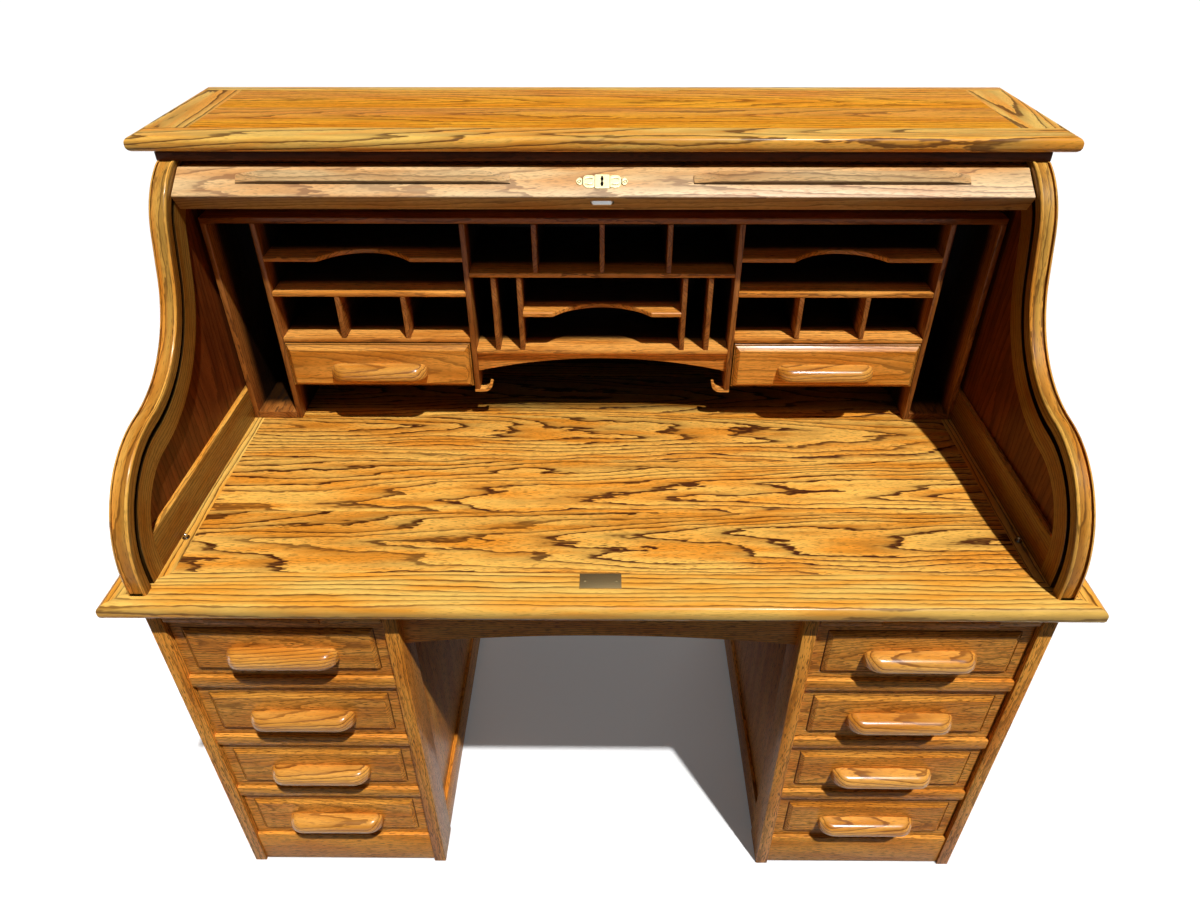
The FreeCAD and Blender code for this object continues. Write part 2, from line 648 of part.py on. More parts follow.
def panel_hole(shrink):
    """Outline of the sunk panel in a roll side, drawn in by shrink."""
    top = d.roll_top - d.roll_head_rail - shrink
    low = d.roll_foot_rail + shrink
    rear = d.case_rear - d.roll_rear_stile - shrink
    inset = d.roll_stile + shrink
    edges, start, end = s_edges(inset, low, crown_angle(inset, top))
    return edges + run(end, point(rear, top), point(rear, low), start)


def roll_side(label, hand):
    """S-shaped frame with a panel opening and the groove in its inner face."""
    body = new_body(label, f"{hand} * roll_inner", "0", "surface_height")
    edges, start, end = s_edges(0, 0, crown_angle(0, d.roll_top))
    edges += run(end, point(d.case_rear, d.roll_top), point(d.case_rear, 0), start)
    pad(body, "YZ_Plane", edges + panel_hole(0), "roll_thick", reverse=hand < 0)
    outer, outer_start, outer_tail = groove_wall(d.groove_inset - d.groove_wide / 2)
    inner, inner_start, inner_tail = groove_wall(d.groove_inset + d.groove_wide / 2)
    ends = run(outer_start, inner_start) + run(outer_tail, inner_tail)
    pocket(body, "YZ_Plane", outer + inner + ends, "groove_deep", reverse=hand > 0)
    node(label, body)


panels = []
for side, hand in HANDS:
    roll_side(f"{side}_roll_side", hand)
    body = new_body(f"{side}_roll_panel", f"{hand} * (roll_inner + (roll_thick - panel_thick) / 2)",
                    "0", "surface_height")
    pad(body, "YZ_Plane", panel_hole(d.panel_fit), "panel_thick", reverse=hand < 0)
    panels.append(body)
node("roll_panels", *panels)

node("frieze",
     board("-frieze_half", "frieze_front", "surface_height + roll_top", "2 * frieze_half",
           "frieze_wide", "frieze_high"),
     board("-frieze_half", "case_rear - frieze_wide", "surface_height + roll_top",
           "2 * frieze_half", "frieze_wide", "frieze_high"),
     *mirrored_boards("frieze_half - frieze_wide", "frieze_front + frieze_wide",
                      "surface_height + roll_top", "frieze_wide",
                      "case_rear - frieze_front - 2 * frieze_wide", "frieze_high"))


# Roll: its pieces are drawn square in a frame that turns with the crown of the S.
def on_roll(name, x):
    """A body whose Y runs up the roll and whose Z points out of it, at the lead rail."""
    body = new_body(name, x, "crown_y", "surface_height + crown_z")
    body.Placement.Rotation = FreeCAD.Rotation(X_AXIS, 1)
    bind(body, "Placement.Rotation.Angle", "lead_angle - 90")
    return body


def rectangle(low_x, high_x, low_y, high_y):
    return loop(point(low_x, low_y), point(high_x, low_y),
                point(high_x, high_y), point(low_x, high_y))


lead = on_roll("tambour_lead_rail", "-(lead_half + lead_gap + tongue_deep)")
pad(lead, "YZ_Plane", rectangle(-d.tongue_length / 2, d.tongue_length / 2,
                                d.groove_radius - d.tongue_thick / 2,
                                d.groove_radius + d.tongue_thick / 2),
    "2 * (lead_half + lead_gap + tongue_deep)")
pad(lead, "YZ_Plane", rectangle(-d.lead_wide / 2, d.lead_wide / 2, d.lead_back, d.lead_face),
    "2 * lead_half", "lead_gap + tongue_deep")
soften(lead, "lead_arris", lambda middle, edge: near(middle.z, d.lead_face)
       and near(abs(middle.y), d.lead_wide / 2))
bolt_x = d.lead_half + d.lead_gap + d.tongue_deep
bolt_z = d.lead_face - d.bolt_sink
pocket(lead, "XZ_Plane", rectangle(bolt_x - d.bolt_length / 2 - d.bolt_gap,
                                   bolt_x + d.bolt_length / 2 + d.bolt_gap,
                                   bolt_z - d.bolt_thick / 2 - d.bolt_gap,
                                   bolt_z + d.bolt_thick / 2 + d.bolt_gap),
       "bolt_deep - bolt_proud + bolt_gap", "lead_wide / 2")
node("tambour_lead_rail", lead)

bolt = on_roll("lock_bolt", "0")
pad(bolt, "XZ_Plane", rectangle(-d.bolt_length / 2, d.bolt_length / 2,
                                bolt_z - d.bolt_thick / 2, bolt_z + d.bolt_thick / 2),
    "bolt_deep", "lead_wide / 2 + bolt_proud - bolt_deep")
node("lock_bolt", bolt)

strips = []
for side, hand in HANDS:
    inner, outer = hand * d.finger_inner, hand * (d.finger_inner + d.finger_length)
    tip, face = d.lead_face + d.finger_tip, d.lead_face + d.finger_proud
    ramp = hand * d.finger_ramp
    strip = on_roll(f"{side}_finger_pull", "0")
    pad(strip, "XZ_Plane", loop(point(inner, d.lead_face), point(outer, d.lead_face),
                                point(outer, tip), point(outer - ramp, face),
                                point(inner + ramp, face), point(inner, tip)),
        "finger_wide", "-finger_lift - finger_wide / 2")
    strips.append(strip)
node("finger_pulls", *strips)

scallop_x = d.plate_body + d.plate_scallop
scallop_y = d.plate_rise - d.plate_scallop
key_y = -math.sqrt(d.keyhole_radius ** 2 - (d.keyhole_slot / 2) ** 2)
key_angle = math.degrees(math.atan2(key_y, d.keyhole_slot / 2))
plate_edges = []
for way in (1, -1):
    top_left, top_right = point(-d.plate_body, way * d.plate_rise), point(d.plate_body, way * d.plate_rise)
    plate_edges += run(top_left, top_right)
    for end in (1, -1):
        start = {(1, 1): 180, (-1, 1): 270, (-1, -1): 0, (1, -1): 90}[(end, way)]
        plate_edges.append(arc(point(end * scallop_x, way * d.plate_rise), d.plate_scallop,
                               start, start + 90))
        plate_edges += run(point(end * scallop_x, way * scallop_y), point(end * d.plate_half, 0))
keyhole = [arc(point(0, 0), d.keyhole_radius, key_angle, 180 - key_angle)]
keyhole += run(point(-d.keyhole_slot / 2, key_y), point(-d.keyhole_slot / 2, -d.keyhole_length),
               point(d.keyhole_slot / 2, -d.keyhole_length), point(d.keyhole_slot / 2, key_y))
plate = on_roll("escutcheon", "0")
pad(plate, "XY_Plane", plate_edges + keyhole, "plate_thick", "lead_face")
node("escutcheon", plate)


# Slats follow the groove: over the crown behind the lead rail, then the run, the bend and the drop.
def slat(centre, turn):
    """A slat with a flat back and a crowned face, turned to lie along the groove."""
    half, back = d.slat_wide / 2, -d.slat_thick / 2
    left, right = point(-half, back + d.slat_edge), point(half, back + d.slat_edge)
    edges = run(left, point(-half, back), point(half, back), right)
    edges.append(three_point(right, point(0, -back), left))
    face = Part.Face(Part.Wire([edge.toShape() for edge in edges]))
    solid = face.extrude(FreeCAD.Vector(0, 0, 2 * d.slat_half))
    upright = FreeCAD.Rotation(X_AXIS, FreeCAD.Vector(0, 1, 0), FreeCAD.Vector(0, 0, 1))
    across = FreeCAD.Placement(FreeCAD.Vector(-d.slat_half, 0, 0),
                               FreeCAD.Rotation(FreeCAD.Vector(0, 1, 0), FreeCAD.Vector(0, 0, 1),
                                                FreeCAD.Vector(1, 0, 0), "ZXY"))
    lying = FreeCAD.Placement(FreeCAD.Vector(0, centre.x, centre.y),
                              FreeCAD.Rotation(X_AXIS, turn).multiply(upright))
    solid.Placement = lying.multiply(across)
    return solid


def along_store(distance):
    """Place and slope of the stored roll, a distance behind the top of the crown."""
    straight = d.bend_y - d.crown_y
    quarter = d.bend_radius * math.pi / 2
    if distance < straight:
        return point(d.crown_y + distance, d.run_height), 0
    if distance < straight + quarter:
        turn = math.degrees((distance - straight) / d.bend_radius)
        return polar(BEND, d.bend_radius, 90 - turn), -turn
    return point(d.tail_y, d.bend_z - (distance - straight - quarter)), -90


def roll_group(label, solids):
    """A group of solids in the roll's own coordinates."""
    part = doc.addObject("Part::Feature", label)
    part.Shape = Part.makeCompound(solids)
    place(part, "0", "0", "surface_height")
    node(label, part)


pitch_angle = math.degrees(d.slat_pitch / d.groove_radius)
slat_back = d.groove_radius - d.slat_thick / 2
slat_reach = math.hypot(d.slat_wide / 2, slat_back)
rail_edge = d.lead_wide / 2 + d.slat_pitch - d.slat_wide
angle = d.lead_angle - math.degrees(math.atan2(d.slat_wide / 2, slat_back)
                                    + math.asin(rail_edge / slat_reach))
moving = []
while angle - pitch_angle / 2 > 90:
    moving.append(slat(polar(CROWN, d.groove_radius, angle), angle - 90))
    angle -= pitch_angle
roll_group("tambour_slats", moving)

stored = []
distance = max(d.slat_pitch / 2, math.radians(90 - angle) * d.groove_radius)
store_length = d.bend_y - d.crown_y + d.bend_radius * math.pi / 2 + d.bend_z - d.tail_foot
while distance + d.slat_wide / 2 < store_length:
    stored.append(slat(*along_store(distance)))
    distance += d.slat_pitch


def canvas():
    """The sheet that the stored slats are glued to, along the inside of their path."""
    near_r = d.bend_radius - d.slat_thick / 2
    far_r = near_r - d.canvas_thick
    walls = []
    for radius in (near_r, far_r):
        height = d.bend_z + radius
        first, last = point(d.crown_y, height), point(d.bend_y + radius, d.tail_foot)
        walls.append((first, last))
        walls[-1] += (run(first, point(d.bend_y, height)) + [arc(BEND, radius, 0, 90)]
                      + run(point(d.bend_y + radius, d.bend_z), last),)
    edges = walls[0][2] + walls[1][2] + run(walls[0][0], walls[1][0]) + run(walls[0][1], walls[1][1])
    wire = Part.Wire(Part.__sortEdges__([edge.toShape() for edge in edges]))
    solid = Part.Face(wire).extrude(FreeCAD.Vector(0, 0, 2 * d.lead_half))
    solid.Placement = FreeCAD.Placement(FreeCAD.Vector(-d.lead_half, 0, 0),
                                        FreeCAD.Rotation(FreeCAD.Vector(0, 1, 0),
                                                         FreeCAD.Vector(0, 0, 1), X_AXIS, "ZXY"))
    return solid


roll_group("tambour_curtain", stored + [canvas()])


# Pigeonhole unit: boards that stand on the writing surface between the roll sides.
def unit_board(x, z, wide, high, y="unit_front", deep="unit_depth - panel_thick"):
    return board(x, y, f"surface_height + {z}", wide, deep, high)


def unit_pair(x, z, wide, high, **depth):
    return [unit_board(handed(hand, x, wide), z, wide, high, **depth) for side, hand in HANDS]


node("pigeonhole_case",
     unit_board("-roll_inner", "unit_height", "2 * roll_inner", "unit_top", deep="unit_depth"),
     unit_board("-roll_inner", "0", "2 * roll_inner", "unit_height",
                y="unit_rear - panel_thick", deep="panel_thick"),
     *unit_pair("roll_inner - partition", "0", "partition", "unit_height"),
     *unit_pair("wing_outer", "0", "partition", "unit_height"),
     *unit_pair("centre_half", "partition_foot", "partition", "unit_height - partition_foot"),
     *unit_pair("wing_outer + partition", "0", "end_slot", "end_floor"),
     *[runner for x in ("wing_inner", "wing_outer - small_runner")
       for runner in unit_pair(x, "small_bottom + small_lift - small_runner", "small_runner",
                               "small_runner", y="small_back + drawer_gap",
                               deep="unit_rear - panel_thick - small_back - drawer_gap")])


def scooped_shelf(name, low, high, end, z):
    """A shelf from low to high whose front edge is scooped out between plain ends."""
    deep = d.unit_depth - d.panel_thick
    left, right = low + end, high - end
    cheek_left = point(left + d.scoop_cheek, d.scoop_cheek)
    cheek_right = point(right - d.scoop_cheek, d.scoop_cheek)
    edges = run(cheek_right, point(right, 0), point(high, 0), point(high, deep),
                point(low, deep), point(low, 0), point(left, 0), cheek_left)
    edges.append(three_point(cheek_left, point((low + high) / 2, d.scoop_deep), cheek_right))
    body = new_body(name, "0", "unit_front", f"surface_height + {z}")
    pad(body, "XY_Plane", edges, "shelf")
    return body


well = d.centre_half - 2 * d.letter_slot - 2 * d.divider
scooped = [scooped_shelf("centre_shelf", -well, well, d.scoop_centre_end, "centre_middle")]
for side, hand in HANDS:
    low, high = sorted((hand * d.wing_inner, hand * d.wing_outer))
    scooped.append(scooped_shelf(f"{side}_wing_shelf", low, high, d.scoop_end, "wing_upper"))
node("scooped_shelves", *scooped)
shelves = unit_pair("wing_inner", "wing_middle", "wing_width", "shelf")
shelves += unit_pair("wing_inner", "wing_lower", "wing_width", "shelf")
shelves.append(unit_board("-centre_half", "centre_upper", "2 * centre_half", "shelf"))
shelves.append(unit_board("-centre_half", "centre_lower", "2 * centre_half", "shelf"))
node("pigeonhole_shelves", *shelves)

dividers = []
for index in (1, 2):
    dividers += unit_pair(f"wing_inner + {index} * (wing_width - 2 * divider) / 3"
                          f" + {index - 1} * divider",
                          "wing_lower + shelf", "divider", "wing_middle - wing_lower - shelf")
    dividers += unit_pair(f"centre_half - {index} * (letter_slot + divider)",
                          "centre_lower + shelf", "divider", "centre_upper - centre_lower - shelf")
dividers += unit_pair("(centre_half - divider) / 2", "centre_upper + shelf", "divider",
                      "unit_height - centre_upper - shelf")
dividers.append(unit_board("-divider / 2", "centre_upper + shelf", "divider",
                           "unit_height - centre_upper - shelf"))
node("pigeonhole_dividers", *dividers)

arch = arched_board("pigeonhole_arch", "centre_half", "arch_drop", "arch_rise", "arch_thick",
                    "unit_front + arch_setback", "surface_height + centre_lower")
curls = []
for side, hand in HANDS:
    curl = new_body(f"{side}_curl", "0", "unit_front + curl_deep", "surface_height + partition_foot")
    root_x, bend_x = hand * d.wing_inner, hand * (d.wing_inner - d.curl_foot)
    thick = d.curl_outer - d.curl_inner
    hub = point(bend_x, d.curl_inner)
    tip_outer = point(bend_x - hand * d.curl_outer, d.curl_inner)
    tip_inner = point(bend_x - hand * d.curl_inner, d.curl_inner)
    start = 180 if hand > 0 else 270
    edges = run(point(bend_x, -thick), point(root_x, -thick), point(root_x, 0), point(bend_x, 0))
    edges += [arc(hub, d.curl_outer, start, start + 90), arc(hub, d.curl_inner, start, start + 90)]
    edges += run(tip_outer, tip_inner)
    pad(curl, "XZ_Plane", edges, "curl_deep")
    curls.append(curl)
node("pigeonhole_apron", arch, *curls)

for side, hand in HANDS:
    wide = "(wing_width - 2 * drawer_gap)"
    x = handed(hand, "wing_inner + drawer_gap", wide)
    floor = "surface_height + small_bottom"
    node(f"{side}_small_drawer",
         bevelled_front(x, "small_face", floor, wide, "(small_top - small_bottom)", "small_thick",
                        "small_raise", "0", "0", "small_raise"),
         *drawer_box(x, "small_back", f"{floor} + small_lift", wide, "small_depth", "small_box",
                     "small_side", "small_floor", "0"))
    pull(f"{side}_small_pull", f"{hand} * (wing_inner + wing_width / 2)", "small_face",
         f"{floor} + (small_top - small_bottom) / 2 - pull_drop")

# Every object has to be sound before anything is written.
doc.recompute()
for obj in doc.Objects:
    if "Invalid" in obj.State or "Error" in obj.State:
        raise RuntimeError(f"{obj.Label} failed: {obj.State}")
for part in NODES:
    if part.Shape.isNull() or not part.Shape.isValid() or not part.Shape.Solids:
        raise RuntimeError(f"{part.Label} has no sound shape")

os.makedirs("parts", exist_ok=True)
for part in NODES:
    part.Shape.exportStep(f"parts/{part.Label}.step")
box = Part.makeCompound([part.Shape for part in NODES]).BoundBox
print(f"{len(NODES)} nodes, {sum(len(part.Shape.Solids) for part in NODES)} solids")
print(f"X {box.XMin:.1f} {box.XMax:.1f}  Y {box.YMin:.1f} {box.YMax:.1f}  Z {box.ZMin:.1f} {box.ZMax:.1f}")
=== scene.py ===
import zlib
import bpy
import numpy as np
from mathutils import Matrix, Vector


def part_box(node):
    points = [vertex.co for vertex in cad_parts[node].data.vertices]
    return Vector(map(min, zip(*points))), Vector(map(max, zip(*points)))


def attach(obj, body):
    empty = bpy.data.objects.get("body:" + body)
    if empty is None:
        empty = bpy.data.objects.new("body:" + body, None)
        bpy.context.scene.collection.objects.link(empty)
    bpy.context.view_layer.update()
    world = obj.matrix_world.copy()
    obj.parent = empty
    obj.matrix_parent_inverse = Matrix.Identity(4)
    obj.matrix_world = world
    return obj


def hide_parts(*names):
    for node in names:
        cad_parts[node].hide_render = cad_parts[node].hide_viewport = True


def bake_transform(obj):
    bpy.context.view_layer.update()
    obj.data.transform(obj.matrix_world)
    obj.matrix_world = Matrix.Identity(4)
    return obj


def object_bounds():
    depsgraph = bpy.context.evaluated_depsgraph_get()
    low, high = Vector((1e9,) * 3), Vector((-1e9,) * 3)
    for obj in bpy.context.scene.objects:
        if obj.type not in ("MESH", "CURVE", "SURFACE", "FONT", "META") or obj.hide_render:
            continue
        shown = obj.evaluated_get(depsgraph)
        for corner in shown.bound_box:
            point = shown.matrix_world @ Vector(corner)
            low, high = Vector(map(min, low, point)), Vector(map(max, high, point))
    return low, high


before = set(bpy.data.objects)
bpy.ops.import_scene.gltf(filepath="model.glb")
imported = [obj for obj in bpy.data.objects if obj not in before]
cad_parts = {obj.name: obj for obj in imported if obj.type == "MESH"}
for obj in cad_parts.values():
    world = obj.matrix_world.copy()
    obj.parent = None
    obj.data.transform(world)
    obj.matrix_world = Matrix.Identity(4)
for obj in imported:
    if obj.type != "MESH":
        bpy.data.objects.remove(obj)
cad_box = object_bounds()


# Pedestal sides: oak stiles and rails, tenoned and glued round a sunk flat-sawn panel. The stiles run
# down to the floor as feet. Every arris is eased with sandpaper before the lacquer goes on.
def boards_of(node):
    """Lowest and highest corners of a node's square boards: each is twelve triangles of its mesh."""
    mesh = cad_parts[node].data
    place = np.empty(3 * len(mesh.vertices), np.float32)
    mesh.vertices.foreach_get("co", place)
    corner = np.empty(len(mesh.loops), np.int32)
    mesh.loops.foreach_get("vertex_index", corner)
    solids = place.reshape(-1, 3)[corner].reshape(-1, 36, 3).astype(float)
    return list(zip(solids.min(1), solids.max(1)))


def skin(rings):
    """Faces through rings of points, ring to ring, with a flat cap at each end, all facing outward."""
    rings = np.asarray(rings, float)
    index = np.arange(rings.shape[0] * rings.shape[1]).reshape(rings.shape[:2])
    beside = np.roll(index, -1, 1)
    sides = np.stack([index[:-1], beside[:-1], beside[1:], index[1:]], -1).reshape(-1, 4)
    points = rings.reshape(-1, 3)
    a, b, c, e = (points[sides[:, k]] - points[0] for k in range(4))
    tip = rings[-1] - points[0]
    middle = np.broadcast_to(tip.mean(0), tip.shape)
    volume = (a * (np.cross(b, c) + np.cross(c, e))).sum()
    volume += (middle * np.cross(tip, np.roll(tip, -1, 0))).sum()
    faces = sides.tolist() + [index[0, ::-1].tolist(), index[-1].tolist()]
    return points, faces if volume > 0 else [face[::-1] for face in faces]


def sawn(points, low, high, along, seed, cut="rift", tone=1.0):
    """Place of each point in its log: along the grain, sideways from the pith, out from the pith.

    The pith leans a little against the board, so that a flat-sawn face, which lies close over it,
    shows arches, and a rift-sawn board, which lies to one side of it, shows long straight lines.
    """
    chance = np.random.default_rng(seed)
    thin, wide = sorted((axis for axis in range(3) if axis != along), key=lambda k: high[k] - low[k])
    local = points - (np.asarray(low) + np.asarray(high)) / 2
    side, out = chance.uniform(-0.03, 0.03), chance.uniform(0.03, 0.06)
    lean = chance.uniform(0.03, 0.07) * chance.choice([-1, 1])
    if cut == "rift":
        side, lean = chance.choice([-1, 1]) * chance.uniform(0.10, 0.16), lean / 3
    run = local[:, along]
    grain = np.stack([run + chance.uniform(-9, 9), local[:, wide] + side + lean * run * 0.4,
                      local[:, thin] + out + lean * run], 1)
    return grain, np.full(len(points), tone * chance.uniform(0.92, 1.06))


def board(low, high, seed, along=None, arris=0.0015, cut="rift", tone=1.0):
    """A sawn board: a rectangle with eased corners carried along the grain and drawn in at its ends."""
    low, high = np.asarray(low, float), np.asarray(high, float)
    along = int(np.argmax(high - low)) if along is None else along
    across = [axis for axis in range(3) if axis != along]
    middle, half = (low + high) / 2, (high - low) / 2
    arris = min(arris, 0.4 * half.min())
    corner = np.radians([0, 90, 180, 270])
    angle = (corner[:, None] + np.radians([0, 45, 90])).ravel()
    sign = np.sign(np.stack([np.cos(corner + 0.7), np.sin(corner + 0.7)], 1)).repeat(3, 0)
    ease = np.radians([80, 40, 0, 0, 40, 80])
    rings = np.empty((6, 12, 3))
    rings[:, :, along] = (np.array([-1, -1, -1, 1, 1, 1]) * (half[along] - arris + arris * np.sin(ease))
                          + middle[along])[:, None]
    round_part = (arris * np.cos(ease))[:, None, None] * np.stack([np.cos(angle), np.sin(angle)], 1)
    rings[:, :, across] = middle[across] + sign * (half[across] - arris) + round_part
    points, faces = skin(rings)
    return (points, faces, *sawn(points, low, high, along, seed, cut, tone))


def placed(name, data):
    """A new object that holds data, linked to the scene at its origin."""
    made = bpy.data.objects.new(name, data)
    bpy.context.scene.collection.objects.link(made)
    return made


def piece(name, parts, material, body, slot, *nodes):
    """Join parts into one object that rides on a body, unless that is None, and stands for CAD nodes."""
    counts = np.cumsum([0] + [len(part[0]) for part in parts])
    faces = [[k + start for k in face] for part, start in zip(parts, counts) for face in part[1]]
    mesh = bpy.data.meshes.new(name)
    mesh.from_pydata(np.concatenate([part[0] for part in parts]), [], faces)
    grain = mesh.attributes.new("grain", "FLOAT_VECTOR", "POINT")
    grain.data.foreach_set("vector", np.concatenate([part[2] for part in parts]).astype(np.float32).ravel())
    tone = mesh.attributes.new("tone", "FLOAT", "POINT")
    tone.data.foreach_set("value", np.concatenate([part[3] for part in parts]).astype(np.float32))
    mesh.shade_smooth()
    mesh.set_sharp_from_angle(angle=np.radians(25))
    mesh.materials.append(material)
    obj = placed(name, mesh)
    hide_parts(*nodes)
    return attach(obj, body) if body else obj


def linear(colour):
    """Linear red, green, blue and alpha of an sRGB hex colour."""
    value = np.array([int(colour[k:k + 2], 16) for k in (1, 3, 5)]) / 255
    value = np.where(value <= 0.04045, value / 12.92, ((value + 0.055) / 1.055) ** 2.4)
    return (*value.tolist(), 1.0)


def add(tree, kind, links=(), **settings):
    """Add a shader node: settings are its properties, links its sockets with a value or a source.

    A source is a socket, or a node, which then gives its first output in use.
    """
    made = tree.nodes.new(kind)
    for key, value in settings.items():
        setattr(made, key, value)
    for socket, source in dict(links).items():
        if isinstance(source, bpy.types.Node):
            source = next(output for output in source.outputs if output.enabled)
        if isinstance(source, bpy.types.NodeSocket):
            tree.links.new(source, made.inputs[socket])
        else:
            made.inputs[socket].default_value = source
    return made


def bare_material(name):
    """A new material whose node tree is empty, and that tree."""
    material = bpy.data.materials.new(name)
    material.use_nodes = True
    material.node_tree.nodes.clear()
    return material, material.node_tree


def oak(name, pale, honey, brown, ring=9, sway=24, jag=8, strength=1.0, pores=0.45,
        gloss=0.36, coat=0.12, shine=0.25, inside=None):
    """Lacquered oak: year rings about the pith, bent by a slow sway and a torn jag, in millimetres.

    Each ring opens with a dark porous line, sharp on one side and smoky on the other. Fine pores
    streak the whole face; they are drawn about three times as coarse as real ones, so that they
    show. inside gives two depths along Y and a factor: between those depths, painted shade darkens
    the colour down to that factor.
    """
    material, tree = bare_material(name)
    grain = add(tree, "ShaderNodeAttribute", attribute_name="grain").outputs["Vector"]
    tone = add(tree, "ShaderNodeAttribute", attribute_name="tone").outputs["Fac"]
    waves = []
    for along, across, detail in ((420, 52, 1.0), (60, 11, 1.0), (13, 2.6, 0.0), (40, 2.4, 1.0),
                                  (15, 1.2, 1.0), (220, 26, 2.0)):
        scale = (1000 / along, 1000 / across, 1000 / across)
        drawn = add(tree, "ShaderNodeMapping", {"Vector": grain, "Scale": scale})
        waves.append(add(tree, "ShaderNodeTexNoise", {"Vector": drawn, "Scale": 1.0, "Detail": detail}))
    slow, torn, ragged, dashed, pored, clouded = waves
    outward = add(tree, "ShaderNodeVectorMath", {0: grain, 1: (0, 1, 1)}, operation="MULTIPLY")
    bent = add(tree, "ShaderNodeVectorMath", {0: outward}, operation="LENGTH")
    for wave, reach in ((slow, sway), (torn, jag), (ragged, 0.3 * jag)):
        bent = add(tree, "ShaderNodeMath", {0: wave, 1: reach / 1000, 2: bent}, operation="MULTIPLY_ADD")
    years = add(tree, "ShaderNodeMath", {0: bent, 1: ring / 1000}, operation="DIVIDE")
    part = add(tree, "ShaderNodeMath", {0: years}, operation="FRACT")
    year = add(tree, "ShaderNodeMath", {0: years}, operation="FLOOR")
    chance = add(tree, "ShaderNodeTexWhiteNoise", {"W": year}, noise_dimensions="1D").outputs["Value"]
    ramps = []
    for wave, low, high, start, end in ((part, 0.0, 0.05, 0.0, 1.0), (part, 0.14, 0.34, 1.0, 0.0),
                                        (part, 0.1, 0.8, 0.45, 0.0), (chance, 0.1, 0.6, 0.8, 1.0),
                                        (dashed, 0.32, 0.50, 0.85, 1.0), (pored, 0.52, 0.68, 0.0, pores),
                                        (clouded, 0.35, 0.68, 0.0, 1.0)):
        ramps.append(add(tree, "ShaderNodeMapRange", {"Value": wave, "From Min": low, "From Max": high,
                                                      "To Min": start, "To Max": end},
                         interpolation_type="SMOOTHSTEP"))
    edge, line, smoke, vigour, dash, pore, cloud = ramps
    dark = add(tree, "ShaderNodeMath", {0: line, 1: smoke}, operation="MAXIMUM")
    for share in (edge, vigour, dash, strength):
        dark = add(tree, "ShaderNodeMath", {0: dark, 1: share}, operation="MULTIPLY")
    dark = add(tree, "ShaderNodeMath", {0: dark, 1: pore}, operation="MAXIMUM")
    base = add(tree, "ShaderNodeMix", {"Factor": cloud, 6: linear(pale), 7: linear(honey)}, data_type="RGBA")
    wood = add(tree, "ShaderNodeMix", {"Factor": dark, 6: base, 7: linear(brown)}, data_type="RGBA")
    # Painted shade: the colour darkens with depth behind the given Y.
    if inside:
        place = add(tree, "ShaderNodeTexCoord").outputs["Object"]
        depth = add(tree, "ShaderNodeSeparateXYZ", {0: place}).outputs["Y"]
        painted_shade = add(tree, "ShaderNodeMapRange", {"Value": depth, "From Min": inside[0], "From Max": inside[1],
                                                 "To Min": 1.0, "To Max": inside[2]},
                    interpolation_type="SMOOTHSTEP")
        tone = add(tree, "ShaderNodeMath", {0: tone, 1: painted_shade}, operation="MULTIPLY")
    shade = add(tree, "ShaderNodeVectorMath", {0: wood, "Scale": tone}, operation="SCALE")
    height = add(tree, "ShaderNodeMath", {0: 1.0, 1: dark}, operation="SUBTRACT")
    relief = add(tree, "ShaderNodeBump", {"Strength": 0.2, "Distance": 0.0006, "Height": height})
    rough = add(tree, "ShaderNodeMapRange", {"Value": dark, "To Min": gloss, "To Max": gloss + 0.2})
    surface = add(tree, "ShaderNodeBsdfPrincipled",
                  {"Base Color": shade, "Roughness": rough, "IOR": 1.5, "Specular IOR Level": shine,
                   "Coat Weight": coat, "Coat Roughness": 0.16, "Normal": relief})
    add(tree, "ShaderNodeOutputMaterial", {"Surface": surface})
    return material


# Satin lacquer over rift-sawn oak shows fine straight lines and short pore dashes. Stained oak is a deep
# red brown with a weak figure.
case_oak = oak("lacquered oak", "#FFAE48", "#E68C2C", "#4A2006", ring=4.5, sway=14, jag=4, strength=0.6,
               pores=0.8, gloss=0.36, coat=0.03, shine=0.1)
panel_oak = oak("stained oak panel", "#8A471C", "#6E3412", "#381604", ring=12, strength=0.6,
                coat=0.04, shine=0.1)
for side in ("left", "right"):
    for place in ("inner", "outer"):
        node = f"{side}_{place}_side"
        seed = zlib.crc32(node.encode())
        *frames, sunk = boards_of(node)
        parts = [board(*ends, seed + k) for k, ends in enumerate(frames)]
        parts.append(board(*sunk, seed + 9, along=2, cut="flat", arris=0.0005, tone=0.95))
        piece(f"{node}_frame", parts, case_oak, "desk", "oak", node)

# Backs: a frame with sunk panels closes each pedestal, the kneehole and the roll case. They are stained
# darker than the show faces and lacquered.
thickest_panel = 0.012
for node in ("pedestal_backs", "modesty_panel", "upper_back"):
    seed = zlib.crc32(node.encode())
    parts = [board(low, high, seed + k, cut="flat" if high[1] - low[1] < thickest_panel else "rift")
             for k, (low, high) in enumerate(boards_of(node))]
    piece(f"{node}_frame", parts, panel_oak, "desk", "oak_panel", node)


# Front rails, plinths and runners: solid oak rails tenoned into the sides, with a rounded front edge,
# and plain runners screwed behind them.
def boarded(name, node, material, body, slot, seed, **sawing):
    """A piece of a CAD node's square boards, each sawn from its own log."""
    parts = [board(*ends, seed + k, **sawing) for k, ends in enumerate(boards_of(node))]
    piece(name, parts, material, body, slot, node)


boarded("pedestal_rails", "front_rails", case_oak, "desk", "oak", 300, arris=0.003)
# Planed oak without lacquer is pale and matt, with a soft figure.
raw_oak = oak("unfinished oak", "#D8B27A", "#C89C62", "#94683A", strength=0.7, gloss=0.55, coat=0.0)
boarded("runner_strips", "drawer_runners", raw_oak, "desk", "drawer_wood", 330)


# Drawers: a front with a raised and bevelled field, a box of thin boards behind it and a shaped pull
# that is screwed on from inside.
def grid(x, y, z):
    """Points on a grid: x, y and z are each spread over the same rows and columns."""
    return np.stack(np.broadcast_arrays(x, y, z), -1)


